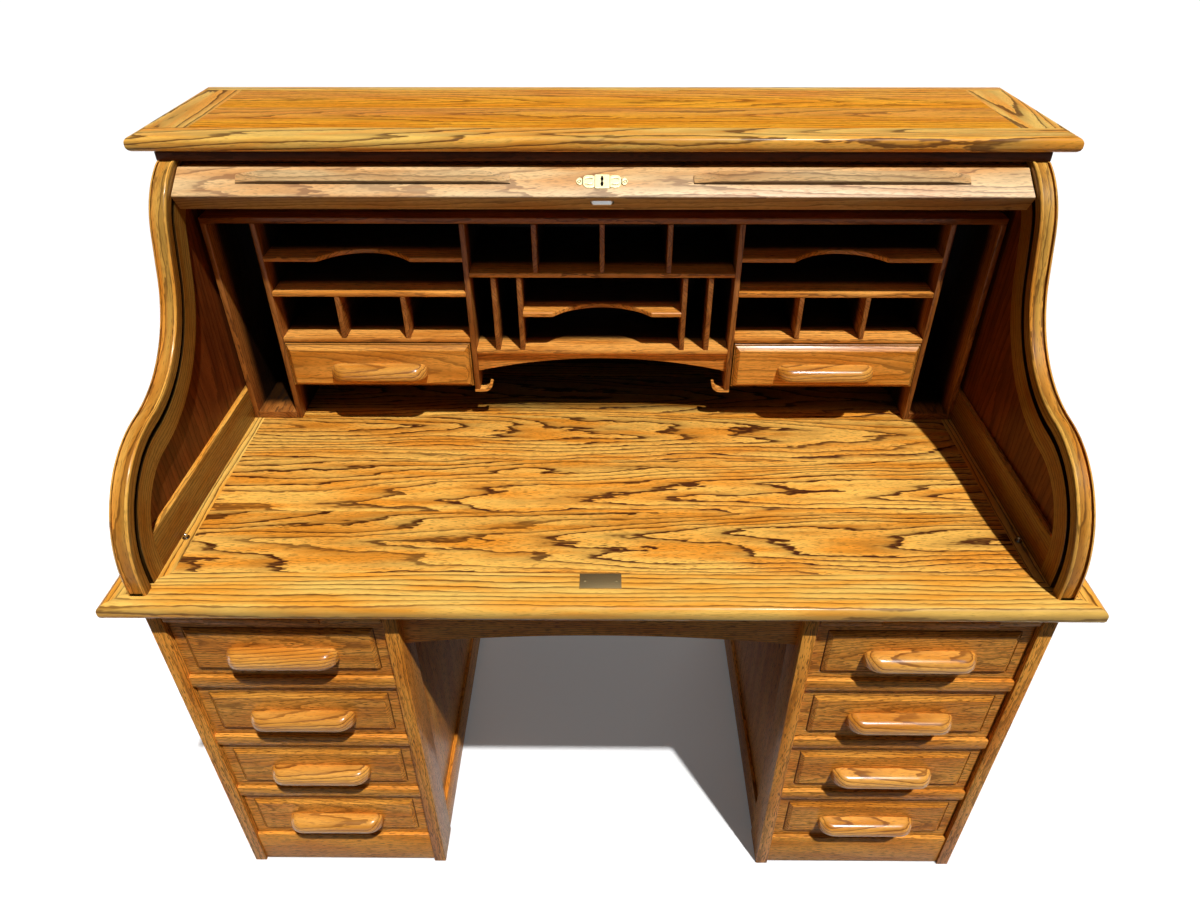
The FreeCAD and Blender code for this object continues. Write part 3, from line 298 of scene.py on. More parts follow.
def carved(rings, seed, along=0, cut="rift", tone=1.0):
    """A closed skin over rings of points, sawn from its log as the box round it lies."""
    points, faces = skin(rings)
    return (points, faces, *sawn(points, points.min(0), points.max(0), along, seed, cut, tone))


def raised_front(low, high, border, bevel, rise, seed):
    """A drawer front: rectangles carried from its back to its face, stepping in at the bevel.

    Its outer edge and the quirk round the field are darker: painted shade in the gap and the quirk.
    """
    low, high, border = (np.asarray(value, float) for value in (low, high, border))
    face, step, ease = low[1], low[1] + rise, 0.0015
    quirk = min(0.0012, 0.3 * (high[1] - step))
    depth = np.array([high[1], step + ease, step, step, step + quirk, step + quirk, step - 0.001,
                      face + 0.0008, face])
    inset = np.array([[0, 0], [0, 0], [ease, ease], border - 0.0022, border - 0.0015, border - 0.0003,
                      border, border + bevel - 0.0008, border + bevel + 0.0006])
    # Painted shade: darker rings at the outer edge and in the quirk.
    painted_shade = [0.15, 0.3, 1.0, 1.0, 0.3, 0.3, 0.75, 1.0, 1.0]
    corner = np.array([[0, 0], [1, 0], [1, 1], [0, 1]])
    flat = low[[0, 2]] + corner * (high - low)[[0, 2]] + (1 - 2 * corner) * inset[:, None]
    points, faces, grain, tone = carved(grid(flat[..., 0], depth[:, None], flat[..., 1]), seed, cut="flat")
    return points, faces, grain, tone * np.repeat(painted_shade, len(corner))


def pull_bar(centre, wide, proud, high, seed):
    """A bar pull: a flat-backed section with a round upper edge, carried along the bar.

    Towards each end the section's depth falls off on a quarter circle, and its top rounds over.
    """
    plan, top, ease = 0.028, 0.017, 0.003
    plan_share, top_share, round_share = 0.86, 0.55, 0.92
    turn = np.sin(np.radians(np.linspace(-90, 90, 25)))
    x = np.concatenate([-wide / 2 + plan * (1 + turn[:13]), wide / 2 - plan + plan * turn[12:]])[:, None]
    over = np.clip((np.abs(x) - wide / 2 + plan) / plan, 0, 1)
    deep = proud - plan * plan_share * (1 - np.sqrt(1 - over ** 2))
    fall = np.clip((np.abs(x) - wide / 2 + top) / top, 0, 1)
    crest = high / 2 - top_share * top * (1 - np.sqrt(1 - fall ** 2))
    curve = np.minimum(top, round_share * deep)
    lower = np.radians(np.linspace(270, 180, 5))
    upper = np.radians(np.linspace(180, 90, 11))
    back, base = np.zeros(x.shape), np.full(x.shape, -high / 2)
    y = np.concatenate([back, ease * (1 + np.cos(lower)) - deep, curve * (1 + np.cos(upper)) - deep, back], 1)
    z = np.concatenate([base, base + ease * (1 + np.sin(lower)),
                        crest - curve * (1 - np.sin(upper)), crest], 1)
    return carved(grid(x, y, z) + centre, seed, cut="flat")


def pull_piece(node, body, seed):
    """The pull that stands for a CAD pull, in the CAD pull's box."""
    low, high = np.array(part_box(node))
    centre = [(low[0] + high[0]) / 2, high[1], (low[2] + high[2]) / 2]
    bar = pull_bar(centre, *(high - low), seed)
    piece(f"{node}_bar", [bar], pull_oak, body, "oak", node)


# Shaped and polished oak is bright honey with close lines that bend over its round edges.
pull_oak = oak("polished oak", "#F0AC4E", "#D68A30", "#642E06", ring=5, sway=10, jag=3, strength=0.8,
               gloss=0.24, coat=0.4)
for side in ("left", "right"):
    for level in (1, 2, 3, 4):
        name = f"{side}_drawer_{level}"
        seed = zlib.crc32(name.encode())
        low, high = np.array(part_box(f"{name}_front"))
        front = raised_front(low, high, border=(0.020, 0.018), bevel=0.0065, rise=0.0055, seed=seed)
        piece(f"{name}_face", [front], case_oak, name, "oak", f"{name}_front")
        boarded(f"{name}_carcase", f"{name}_box", raw_oak, name, "drawer_wood", seed, cut="flat")
        pull_piece(f"{name}_pull", name, seed + 20)

# Writing slides: a flat oak board in each pedestal, above the drawers, with a grip strip glued to its
# front edge. It slides between runners and the writing surface.
for side in ("left", "right"):
    node = f"{side}_writing_slide"
    boarded(f"{node}_board", node, case_oak, f"{side}_slide_board", "oak", 400,
            along=0, cut="flat", arris=0.002)


# Kneehole apron: an oak board on edge under the writing surface, tenoned between the pedestals. Its
# lower edge is sawn to a flat arch.
def arched(low, high, rise, drop, ease, seed):
    """A board on edge carried from end to end, with its lower edge on an arc through the arch's crown."""
    half = (high[0] - low[0]) / 2
    radius = (half ** 2 + rise ** 2) / (2 * rise)
    x = np.linspace(-half, half, 41)[:, None]
    bottom = high[2] - drop + np.sqrt(radius ** 2 - x ** 2) - (radius - rise)
    y = [low[1], low[1] + ease, high[1] - ease, high[1], high[1], low[1]]
    z = np.concatenate([bottom + [ease, 0, 0, ease], np.full((len(x), 2), high[2])], 1)
    return carved(grid(x, y, z), seed)


arch = arched(*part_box("kneehole_apron"), rise=0.020, drop=0.102, ease=0.002, seed=460)
piece("kneehole_arch", [arch], case_oak, "desk", "oak", "kneehole_apron")


# Writing surface and top: flat-sawn planks glued edge to edge, framed at the front and the ends by
# lippings with a rounded nosing, and lacquered to a satin gloss. The lippings are mitred on the writing
# surface. On the top they are butted, and a rear strip closes them.
def lipping(low, high, edge, along, cuts, nosing, seed, cut):
    """A lipping: its section, with a half-round outer edge, carried along and cut to length.

    edge is -1 or 1 for the side of the nosing across the strip. Each end is cut back by a function of
    the distance from the outer edge.
    """
    low, high = np.asarray(low, float), np.asarray(high, float)
    across = 1 - along
    width, thick = high[across] - low[across], high[2] - low[2]
    turn = np.radians(np.linspace(90, 180, 9))
    upper = np.stack([nosing * (1 + np.cos(turn)), thick - nosing * (1 - np.sin(turn))], 1)
    lower = upper[::-1] * (1, -1) + (0, thick)
    flat = nosing + 0.002
    section = np.concatenate([[[width, thick], [flat, thick]], upper, lower, [[flat, 0], [width, 0]]])
    from_edge, height = section.T
    rings = np.empty((2, len(section), 3))
    rings[:, :, across] = (low[across] if edge < 0 else high[across]) - edge * from_edge
    rings[:, :, 2] = low[2] + height
    rings[0, :, along] = low[along] + cuts[0](from_edge)
    rings[1, :, along] = high[along] - cuts[1](from_edge)
    return carved(rings, seed, along, cut)


def framed_top(name, planks, lip, end, nosing, rear, seed, wood, edging, cut):
    """Planks between lippings, in the boxes of the CAD panel and frame; rear is the rear strip's width."""
    low, high = np.array(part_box(f"{name}_panel"))
    cuts = np.linspace(low[1], high[1] - rear, planks + 1)
    parts = [board((low[0], near, low[2]), (high[0], far, high[2]), seed + k, along=0, arris=0.0002,
                   cut="flat") for k, (near, far) in enumerate(zip(cuts, cuts[1:]))]
    piece(f"{name}_planks", parts, wood, "desk", "oak", f"{name}_panel")
    low, high = np.array(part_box(f"{name}_frame"))
    front = [lambda q: q * end / lip] * 2
    ends = [lambda q: q * lip / end, lambda q: 0 * q]
    if rear:
        shoulder = nosing + 0.001
        front = [lambda q: np.minimum(q, nosing)] * 2
        ends = [lambda q: np.where(q > shoulder, lip, q), lambda q: np.where(q > shoulder, rear, 0)]
    strips = [lipping(low, (high[0], low[1] + lip, high[2]), -1, 0, front, nosing, seed + 20, cut),
              lipping(low, (low[0] + end, high[1], high[2]), -1, 1, ends, nosing, seed + 21, cut),
              lipping((high[0] - end, low[1], low[2]), high, 1, 1, ends, nosing, seed + 22, cut)]
    if rear:
        strips.append(board((low[0] + nosing, high[1] - rear, low[2]), (high[0] - nosing, high[1], high[2]),
                            seed + 23, along=0, arris=0.0008))
    piece(f"{name}_lippings", strips, edging, "desk", "oak", f"{name}_frame")


unit_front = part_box("pigeonhole_shelves")[0][1]
# Sunlight has turned the top's lacquer orange, and its lines are close and straight.
top_oak = oak("sun-aged oak", "#FFB02E", "#F4981E", "#7A3A06", ring=9, sway=30, jag=7, strength=0.75,
              gloss=0.45, coat=0.03, shine=0.12)
# Flat-sawn oak shows bold dark arches and jagged lines on a bright yellow ground. Under the pigeonhole unit,
# behind its front, painted shade darkens it.
surface_oak = oak("flat-sawn oak", "#FFC25A", "#F09A30", "#4A1E02", ring=10, sway=46, jag=7, pores=0.6,
                  inside=(unit_front + 0.015, unit_front + 0.05, 0.3))
# A clear lacquer leaves the lippings the palest wood, with thin dark lines and a soft gleam.
edge_oak = oak("clear-lacquered oak", "#FFCC66", "#FFAC3C", "#4E2204", ring=9.5, sway=24, jag=4.5,
               strength=0.85, pores=0.3, gloss=0.32, coat=0.1, shine=0.15)
framed_top("writing_surface", planks=5, lip=0.078, end=0.088, nosing=0.011, rear=0, seed=500,
           wood=surface_oak, edging=edge_oak, cut="rift")
framed_top("top", planks=2, lip=0.058, end=0.081, nosing=0.010, rear=0.026, seed=540,
           wood=top_oak, edging=edge_oak, cut="flat")


# Strike plate: browned steel, let into the writing surface where the roll's bolt comes down, and held
# by two screws with low domed heads.
def steel(name, colour, roughness, brush_mm):
    """Drawn steel: brush lines along X, each about 40 mm long, change its colour and roughness a little."""
    material, tree = bare_material(name)
    place = add(tree, "ShaderNodeTexCoord").outputs["Object"]
    scale = (1000 / 40, 1000 / brush_mm, 1000 / brush_mm)
    drawn = add(tree, "ShaderNodeMapping", {"Vector": place, "Scale": scale})
    brush = add(tree, "ShaderNodeTexNoise", {"Vector": drawn, "Scale": 1.0, "Detail": 3.0})
    bright = linear(colour)
    dull = (*(0.6 * value for value in bright[:3]), 1.0)
    shade = add(tree, "ShaderNodeMix", {"Factor": brush, 6: bright, 7: dull}, data_type="RGBA")
    rough = add(tree, "ShaderNodeMapRange", {"Value": brush, "To Min": roughness - 0.08,
                                             "To Max": roughness + 0.12})
    surface = add(tree, "ShaderNodeBsdfPrincipled",
                  {"Base Color": shade, "Metallic": 1.0, "Roughness": rough})
    add(tree, "ShaderNodeOutputMaterial", {"Surface": surface})
    return material


def turned(centre, girth, rise, count, seed):
    """A turned piece: circles of count points, each with its girth as radius, each at its rise."""
    turn = np.radians(np.arange(count) * 360 / count)
    rings = grid(girth[:, None] * np.cos(turn), girth[:, None] * np.sin(turn), rise[:, None])
    return carved(rings + centre, seed)


# Browned steel is dull and brown, with a faint brush along it.
browned_steel = steel("browned steel", "#C4AC7C", 0.6, 0.6)
low, high = np.array(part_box("strike_plate"))
screw, screw_in, sunk = 0.003, 0.008, 0.0004
dome = np.radians([0, 30, 60, 80])
plate = [board(low, high, 700, along=0, arris=0.0005)]
plate += [turned((x, (low[1] + high[1]) / 2, high[2] - sunk), screw * np.cos(dome),
                 0.35 * screw * np.sin(dome), 12, 701) for x in (low[0] + screw_in, high[0] - screw_in)]
piece("strike_plate_steel", plate, browned_steel, "desk", "strike_steel", "strike_plate")


# Roll sides: an S-shaped stile with rails and a rear stile, cut from thick oak, with a sunk panel. The
# groove that the roll runs in is routed in the inner face along the S.
surface_low, surface_high = np.array(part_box("writing_surface_frame"))
front_edge, desk_top = surface_low[1], surface_high[2]
roll_low, roll_high = np.array(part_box("right_roll_side"))
inner_x, outer_x = roll_low[0], roll_high[0]
roll_top, case_rear = roll_high[2] - desk_top, roll_high[1] - front_edge
foot, hollow, crown = 0.187, 0.218, 0.149
foot_back, foot_high, straight = 0.025, 0.029, 0.068
groove_in, groove_half, groove_deep = 0.023, 0.0046, 0.010
foot_lean, hollow_lean = 5, 71
foot_turn, hollow_turn = np.radians([foot_lean, hollow_lean])
foot_centre = np.array([foot_back + foot, foot_high])
hollow_centre = foot_centre + (foot + hollow) * np.array([-np.sin(foot_turn), np.cos(foot_turn)])
up_straight = np.array([np.cos(hollow_turn), np.sin(hollow_turn)])
inward = np.array([np.sin(hollow_turn), -np.cos(hollow_turn)])
crown_centre = hollow_centre + (hollow + crown) * inward + straight * up_straight


def on_circle(centre, radius, degrees):
    """Points on a circle: its centre plus each radius times the cosine and sine of each turn."""
    turn = np.radians(degrees)
    return centre + np.multiply.outer(radius, np.stack([np.cos(turn), np.sin(turn)], -1))


def s_curve(inset):
    """Depth and height along the S, moved inward by each inset: foot, lower arc, hollow, straight, crown."""
    lower = on_circle(foot_centre, foot - inset, np.linspace(180, 90 + foot_lean, 30))
    upright = np.stack(np.broadcast_arrays(lower[..., :1, 0], np.linspace(0, foot_high, 5)[:4]), -1)
    scoop = on_circle(hollow_centre, hollow + inset, np.linspace(foot_lean - 90, hollow_lean - 90, 28)[1:])
    over = on_circle(crown_centre, crown - inset, np.linspace(90 + hollow_lean, 90, 28))
    return np.concatenate([upright, lower, scoop, over], -2)


def roll_section(thick):
    """Inset and thickness round the S stile's section, starting at its inner face."""
    ease, arris, width, corner = 0.0045, 0.0005, 0.066, 0.002
    quarter = np.radians([90, 67.5, 45, 22.5, 0])
    near = np.stack([ease * (1 - np.sin(quarter)), ease * (1 - np.cos(quarter))], 1)[::-1]
    far = np.stack([near[:, 0], thick - near[:, 1]], 1)[::-1]
    front, back = groove_in - groove_half, groove_in + groove_half
    groove = [[front - arris, 0], [front, arris], [front, groove_deep],
              [back, groove_deep], [back, arris], [back + arris, 0]]
    rear = [[width - corner, 0], [width, corner], [width, thick - corner], [width - corner, thick]]
    return np.concatenate([near, [[ease + 0.001, 0]], groove, rear, [[ease + 0.001, thick]], far])


# Rift-sawn oak follows the S with fine wavy lines under a gloss that catches the light on its edge.
side_oak = oak("rift-sawn oak", "#FFC058", "#F09A34", "#461A02", ring=5.5, sway=14, jag=5, strength=0.68,
               pores=0.45, gloss=0.30, coat=0.16, shine=0.15)
# Painted shade: the routed groove and the inner faces of the roll sides are darkened.
painted_groove_shade, painted_inner_shade = 0.08, 0.36
section = roll_section(outer_x - inner_x)
routed = (np.abs(section[:, 0] - groove_in) < groove_half + 0.0002) & (section[:, 1] <= groove_deep)
curve = s_curve(section[:, 0]).swapaxes(0, 1)
arc = np.append(0, np.cumsum(np.hypot(*np.diff(curve[:, 0], axis=0).T)))
# Rails and rear stile of a side. Both are built up round the slot that the stored slats run in.
inside, outside = inner_x + 0.0003, outer_x - 0.0003
slot_floor, slot_wall = inside + groove_deep, outside - 0.018
rail, head, crown_y = 0.064, roll_top - 0.074, crown_centre[0]
stile_y, slot_front, slot_back = case_rear - np.array([0.067, 0.044, 0.030])
spans = [((0.080, 0.0), (case_rear, rail), inside, outside, 1),
         ((stile_y, rail), (case_rear, head), slot_floor, outside, 2),
         ((stile_y, rail), (slot_front, head), inside, slot_wall, 2),
         ((slot_back, rail), (case_rear, head), inside, slot_wall, 2),
         ((crown_y - 0.050, head), (crown_y, roll_top - 0.054), inside, outside, 1),
         ((crown_y, head), (case_rear, roll_top), slot_floor, outside, 1),
         ((crown_y, head), (case_rear, roll_top - 0.017), inside, slot_wall, 1)]
for side, hand in (("left", -1), ("right", 1)):
    across = hand * (inner_x + section[:, 1])
    height = np.minimum(curve[..., 1], roll_top)
    points, faces = skin(grid(across, front_edge + curve[..., 0], desk_top + height))
    laid = grid(across, arc[:, None], section[:, 0]).reshape(-1, 3)
    grain, tone = sawn(laid, laid.min(0), laid.max(0), 1, 800)
    parts = [(points, faces, grain, tone * np.tile(np.where(routed, painted_groove_shade, 1.0), len(curve)))]
    for k, ((y0, z0), (y1, z1), x0, x1, along) in enumerate(spans):
        left, right = sorted((hand * x0, hand * x1))
        parts.append(board((left, front_edge + y0, desk_top + z0), (right, front_edge + y1, desk_top + z1),
                           810 + k, along=along, arris=0.0012))
    # Painted shade on every inner face of the S stile, rails and rear stile.
    parts = [(place, faces, grain, tone * np.where(np.abs(place[:, 0]) < inner_x + 0.0008, painted_inner_shade, 1.0))
             for place, faces, grain, tone in parts]
    piece(f"{side}_roll_stiles", parts, side_oak, "desk", "oak", f"{side}_roll_side")

# Roll panels: thin flat-sawn oak panels, stained a redder brown. They sit loose in a groove of the roll
# sides, so that they can shrink and swell.
panel_in, panel_low, panel_half = 0.060, 0.058, 0.004
curve = s_curve(panel_in)[5:]
y = np.append(curve[:, 0], case_rear - 0.062)
head = np.minimum(np.append(curve[:, 1], 1.0), roll_top - 0.070)
keep = np.append(True, np.diff(y) > 1e-5)
y, head = y[keep], head[keep]
base = np.full(len(y), panel_low)
z = np.stack([base, head, head, base], 1)
parts = []
for hand in (-1, 1):
    x = hand * ((inner_x + outer_x) / 2 + panel_half * np.array([-1, -1, 1, 1]))
    # Beyond the panels' redder stain, the tone of 0.8 that darkens them further is painted shade.
    parts.append(carved(grid(x, front_edge + y[:, None], desk_top + z), 850 + hand, 2, "flat", 0.8))
piece("roll_side_panels", parts, panel_oak, "desk", "oak_panel", "roll_panels")

# Frieze: a frame of square oak boards between the roll sides and the top, set back under the top's
# nosing and glued to both.
# Its near-black colour is painted shade under the top's overhang, with only a trace of the figure and little
# shine.
frieze_oak = oak("frieze oak with painted shade", "#5A2E12", "#44200A", "#200C04", ring=6, strength=0.6,
                 coat=0.0, shine=0.08)
boarded("frieze_frame", "frieze", frieze_oak, "desk", "oak", 870)

# Pigeonhole unit: thin oak boards housed into each other round a back, standing on the writing surface.
# The shelves lie between upright partitions and dividers, whose darker brown is painted shade.
# Shelves are honey oak; from 30 to 55 mm behind the unit's front, painted shade darkens them nearly to black.
unit_oak = oak("shelf oak", "#FFB254", "#E08E36", "#562606", ring=6, strength=0.7,
               inside=(unit_front + 0.030, unit_front + 0.055, 0.04))
# Uprights are painted a darker brown than the shelves, as shade, so they show less figure than the shelves.
# Painted shade also darkens them inside, from 15 to 50 mm behind the unit's front.
upright_oak = oak("upright oak with painted shade", "#B87434", "#965620", "#3A1804", ring=6, strength=0.7,
                  inside=(unit_front + 0.015, unit_front + 0.050, 0.05))
for node, wood in (("pigeonhole_case", upright_oak), ("pigeonhole_shelves", unit_oak),
                   ("pigeonhole_dividers", upright_oak)):
    boarded(f"{node}_boards", node, wood, "desk", "oak_dark", zlib.crc32(node.encode()), cut="flat")


def scooped(low, high, end, cheek, deep, seed):
    """A shelf carried from end to end whose front edge steps back on a slanted cheek into an arc."""
    left, right = low[0] + end, high[0] - end
    half = (right - left) / 2 - cheek
    radius = (half ** 2 + (deep - cheek) ** 2) / (2 * (deep - cheek))
    t = np.linspace(-half, half, 33)
    x = np.concatenate([[low[0], left], (left + right) / 2 + t, [right, high[0]]])
    arc = deep + np.sqrt(radius ** 2 - t ** 2) - radius
    front = low[1] + np.concatenate([[0, 0], arc, [0, 0]])
    rear = np.full(len(x), high[1])
    ease = 0.0015
    y = np.stack([front + ease, front, front, front + ease, rear, rear], 1)
    z = [low[2], low[2] + ease, high[2] - ease, high[2], high[2], low[2]]
    return carved(grid(x[:, None], y, z), seed, cut="flat")


low, high = np.array(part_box("scooped_shelves"))
thick, middle_x, wing_x = 0.009, 0.145, 0.247
middle_end, wing_end = 0.054, 0.093
spans = [((-middle_x, low[1], low[2]), (middle_x, high[1], low[2] + thick), middle_end),
         ((-high[0], low[1], high[2] - thick), (-wing_x, high[1], high[2]), wing_end),
         ((wing_x, low[1], high[2] - thick), (high[0], high[1], high[2]), wing_end)]
shelves = [scooped(near, far, end, cheek=0.014, deep=0.040, seed=900 + k)
           for k, (near, far, end) in enumerate(spans)]
piece("scooped_shelf_boards", shelves, unit_oak, "desk", "oak_dark", "scooped_shelves")


# Apron of the unit: an oak strip, sawn to an arch, under the middle shelf. A curled bracket is glued
# under the partition at each end of it.
def curl(hand, inner, y0, y1, foot_z, seed):
    """A bracket: a flat foot under the partition that bends up a quarter turn, as one bent strip."""
    foot, bend, thick = 0.016, 0.014, 0.005
    arcs = on_circle(np.array([-foot, bend]), np.array([bend + thick, bend]), np.linspace(270, 180, 13))
    outer, inner_arc = np.concatenate([[[[0, -thick]], [[0, 0]]], arcs], 1)
    strip = np.stack([outer, inner_arc, inner_arc, outer], 1)
    return carved(grid(hand * (inner + strip[..., 0]), [y0, y0, y1, y1], foot_z + strip[..., 1]), seed)


low, high = np.array(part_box("pigeonhole_apron"))
half, front, back, bracket = 0.237, low[1] + 0.008, low[1] + 0.020, low[1] + 0.016
parts = [arched((-half, front, low[2]), (half, back, high[2]), rise=0.028, drop=0.042, ease=0.0015, seed=930)]
parts += [curl(hand, wing_x, low[1], bracket, low[2] + 0.005, 940 + hand) for hand in (-1, 1)]
piece("unit_apron", parts, unit_oak, "desk", "oak_dark", "pigeonhole_apron")

# Small drawers: a bevelled oak front that overhangs the unit's face, a thin box rebated into it, and the
# same shaped pull as below, screwed on from inside.
# Flat-sawn oak under clear lacquer is a bright honey with a few arched lines.
small_oak = oak("honey oak", "#FAAC48", "#E28E2C", "#5A2806", ring=7, sway=24, jag=5, strength=0.55)
for side, hand in (("left", -1), ("right", 1)):
    node, body = f"{side}_small_drawer", f"{side}_small_drawer_body"
    low, high = np.array(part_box(node))
    face_back = low[1] + 0.019
    front = raised_front(low, (high[0], face_back, high[2]), border=(0.003, 0.003), bevel=0.007, rise=0.009,
                         seed=960 + hand)
    floor_z, box_top, wall, bottom = low[2] + 0.002, low[2] + 0.068, 0.008, 0.005
    spans = [((low[0], face_back, floor_z), (low[0] + wall, high[1], box_top)),
             ((high[0] - wall, face_back, floor_z), (high[0], high[1], box_top)),
             ((low[0] + wall, high[1] - wall, floor_z), (high[0] - wall, high[1], box_top)),
             ((low[0] + wall, face_back, floor_z), (high[0] - wall, high[1] - wall, floor_z + bottom))]
    piece(f"{side}_small_face", [front], small_oak, body, "oak", node)
    sides = [board(*ends, 970 + k) for k, ends in enumerate(spans)]
    piece(f"{side}_small_box", sides, raw_oak, body, "drawer_wood")
    pull_piece(f"{side}_small_pull", body, 980 + hand)


# Roll: a thick lead rail carries two tapered finger pulls, and slats glued to canvas follow it in the
# groove. They are drawn in a frame that turns with the crown of the S.
lead_angle = 123.7
lead_turn = np.radians(lead_angle - 90)


def on_roll(rings):
    """Points from along the rail, up the roll and out of it, turned about the crown's centre."""
    rings = np.asarray(rings, float)
    up, out = rings[..., 1], rings[..., 2]
    y = front_edge + crown_centre[0] + up * np.cos(lead_turn) - out * np.sin(lead_turn)
    z = desk_top + crown_centre[1] + up * np.sin(lead_turn) + out * np.cos(lead_turn)
    return np.stack([rings[..., 0], y, z], -1)


groove = crown - groove_in
in_groove, short_of_side = inner_x + 0.0085, inner_x - 0.0015
lead_face, lead_half, lead_deep, lead_ease = groove + 0.008, 0.030, 0.034, 0.003
mortise_half, mortise_sink, mortise_out = 0.0194, 0.0204, np.array([-0.0184, -0.0096])


def lead_part(left, right, mortise):
    """A length of the lead rail: its section, with four eased corners, carried from left to right.

    Where the lock's mortise is, the section's lower edge steps up into it and down again. The lower
    face is darker: painted shade.
    """
    turn = np.radians(np.array([[270, 225, 180], [180, 135, 90], [90, 45, 0], [0, -45, -90]]))
    way = np.array([[-1, -1], [-1, 1], [1, 1], [1, -1]])
    corner = way * [lead_half - lead_ease, lead_deep / 2 - lead_ease] - [0, lead_deep / 2]
    section = (corner[:, None] + lead_ease * np.stack([np.cos(turn), np.sin(turn)], -1)).reshape(-1, 2)
    if mortise:
        up = np.array([0, mortise_sink, mortise_sink, 0]) - lead_half
        section = np.concatenate([section[:3], np.stack([up, mortise_out.repeat(2)], 1), section[3:]])
    rings = np.empty((2, len(section), 3))
    rings[:, :, 0] = np.array([[left], [right]])
    rings[:, :, 1:] = section + [0, lead_face]
    points, faces = skin(rings)
    low = (-short_of_side, -lead_half, lead_face - lead_deep)
    grain, tone = sawn(points, low, (short_of_side, lead_half, lead_face), 0, 1000, "flat")
    # Painted shade on the lower face.
    shade = np.where(points[:, 1] < 0.001 - lead_half, 0.55, 1.0)
    return on_roll(points), faces, grain, tone * shade


tongue = board((-in_groove, -0.010, lead_face - 0.0115), (in_groove, 0.010, lead_face - 0.0045), 1001)
parts = [lead_part(-short_of_side, -mortise_half, False), lead_part(-mortise_half, mortise_half, True),
         lead_part(mortise_half, short_of_side, False), (on_roll(tongue[0]), *tongue[1:])]
# Years of hands have dulled the lacquer, so the lit face has a broad pale sheen over a warm brown.
rail_oak = oak("hand-worn oak", "#FFD698", "#F2B46E", "#6A3412", ring=8, sway=26, jag=6, strength=0.65,
               gloss=0.42, coat=0.0, shine=0.6)
piece("lead_rail", parts, rail_oak, "tambour", "oak", "tambour_lead_rail")

x = 0.148 + np.array([0, 0.001, 0.042, 0.402, 0.443, 0.444])[:, None]
proud = np.array([0.004, 0.005, 0.016, 0.016, 0.005, 0.004])
up = np.array([-0.0045, -0.0045, -0.0035, 0.0085, 0.0105, 0.0105])
out = np.multiply.outer(proud, [0, 0.36, 0.45, 1.0, 0.88, 0])
# Painted shade darkens the grips' undersides.
painted_underside_shade = np.tile(np.where(up < -0.004, 0.2, 1.0), len(x))
parts = []
for hand in (-1, 1):
    points, faces, grain, tone = carved(on_roll(grid(hand * x, up, lead_face + out)), 1010 + hand)
    parts.append((points, faces, grain, tone * painted_underside_shade))
piece("finger_grips", parts, rail_oak, "tambour", "oak", "finger_pulls")

slat_half, slat_back, slat_pitch = 0.010, 0.0038, 0.021


def slat(centre, slope, seed, reach):
    """A slat: a flat-backed section with a crowned face carried to the same reach at both sides."""
    across = np.linspace(-slat_half, slat_half, 9)
    crest = 0.0002 + 0.0036 * (1 - (across / slat_half) ** 2)
    section = np.concatenate([np.stack([across, crest], 1),
                              [[slat_half, -slat_back], [-slat_half, -slat_back]]])
    lie = np.array([[np.cos(slope), np.sin(slope)], [-np.sin(slope), np.cos(slope)]])
    y, z = (centre + section @ lie).T
    return carved(grid([[-reach], [reach]], front_edge + y, desk_top + z), seed)


# The first slat's lower corner stays 1 mm behind the lead rail.
corner = np.array([slat_half, groove - slat_back])
first = lead_angle - np.degrees(np.arctan2(*corner) + np.arcsin((lead_half + 0.001) / np.hypot(*corner)))
second = first - np.degrees(slat_pitch / groove)
parts = [slat(on_circle(crown_centre, groove, turn), np.radians(turn - 90), 1020 + k, in_groove)
         for k, turn in enumerate((first, second))]
piece("moving_slats", parts, case_oak, "tambour", "oak", "tambour_slats")

bend = 0.095
bend_centre = np.array([case_rear - 0.037 - bend, crown_centre[1] + groove - bend])
run_length, quarter = bend_centre[0] - crown_centre[0], bend * np.pi / 2
path_length = run_length + quarter + bend_centre[1] - 0.016
parts = []
for k, distance in enumerate(np.arange(slat_pitch / 2, path_length, slat_pitch)):
    turn = np.clip((distance - run_length) / bend, 0, np.pi / 2)
    centre = bend_centre + bend * np.array([np.sin(turn), np.cos(turn)])
    centre += [min(distance - run_length, 0), -max(distance - run_length - quarter, 0)]
    reach = short_of_side if distance < run_length + 0.03 else in_groove
    parts.append(slat(centre, -turn, 1040 + k, reach))
# Slats behind the crown follow the lead rail down, the nearest ones all the way.
rolled = piece("stored_slats", parts, case_oak, None, "oak", "tambour_curtain")
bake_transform(rolled)

# Canvas: one strip of unbleached cotton duck, glued to the backs of the stored slats. It hinges them to
# each other and is drawn tight by them.
inside = bend - slat_back - 0.0006
turn = np.linspace(0, np.pi / 2, 13)
run = np.linspace(crown_centre[0], bend_centre[0], 10)[:-1]
path = np.concatenate([np.stack([run, np.full(len(run), bend_centre[1] + inside)], 1),
                       bend_centre + inside * np.stack([np.sin(turn), np.cos(turn)], 1),
                       [[bend_centre[0] + inside, 0.006]]])
across = np.linspace(-short_of_side, short_of_side, 15)[:, None]
cloth_points = grid(across, front_edge + path[:, 0], desk_top + path[:, 1])
index = np.arange(across.size * len(path)).reshape(across.size, -1)
cells = np.stack([index[:-1, :-1], index[1:, :-1], index[1:, 1:], index[:-1, 1:]], -1).reshape(-1, 4)
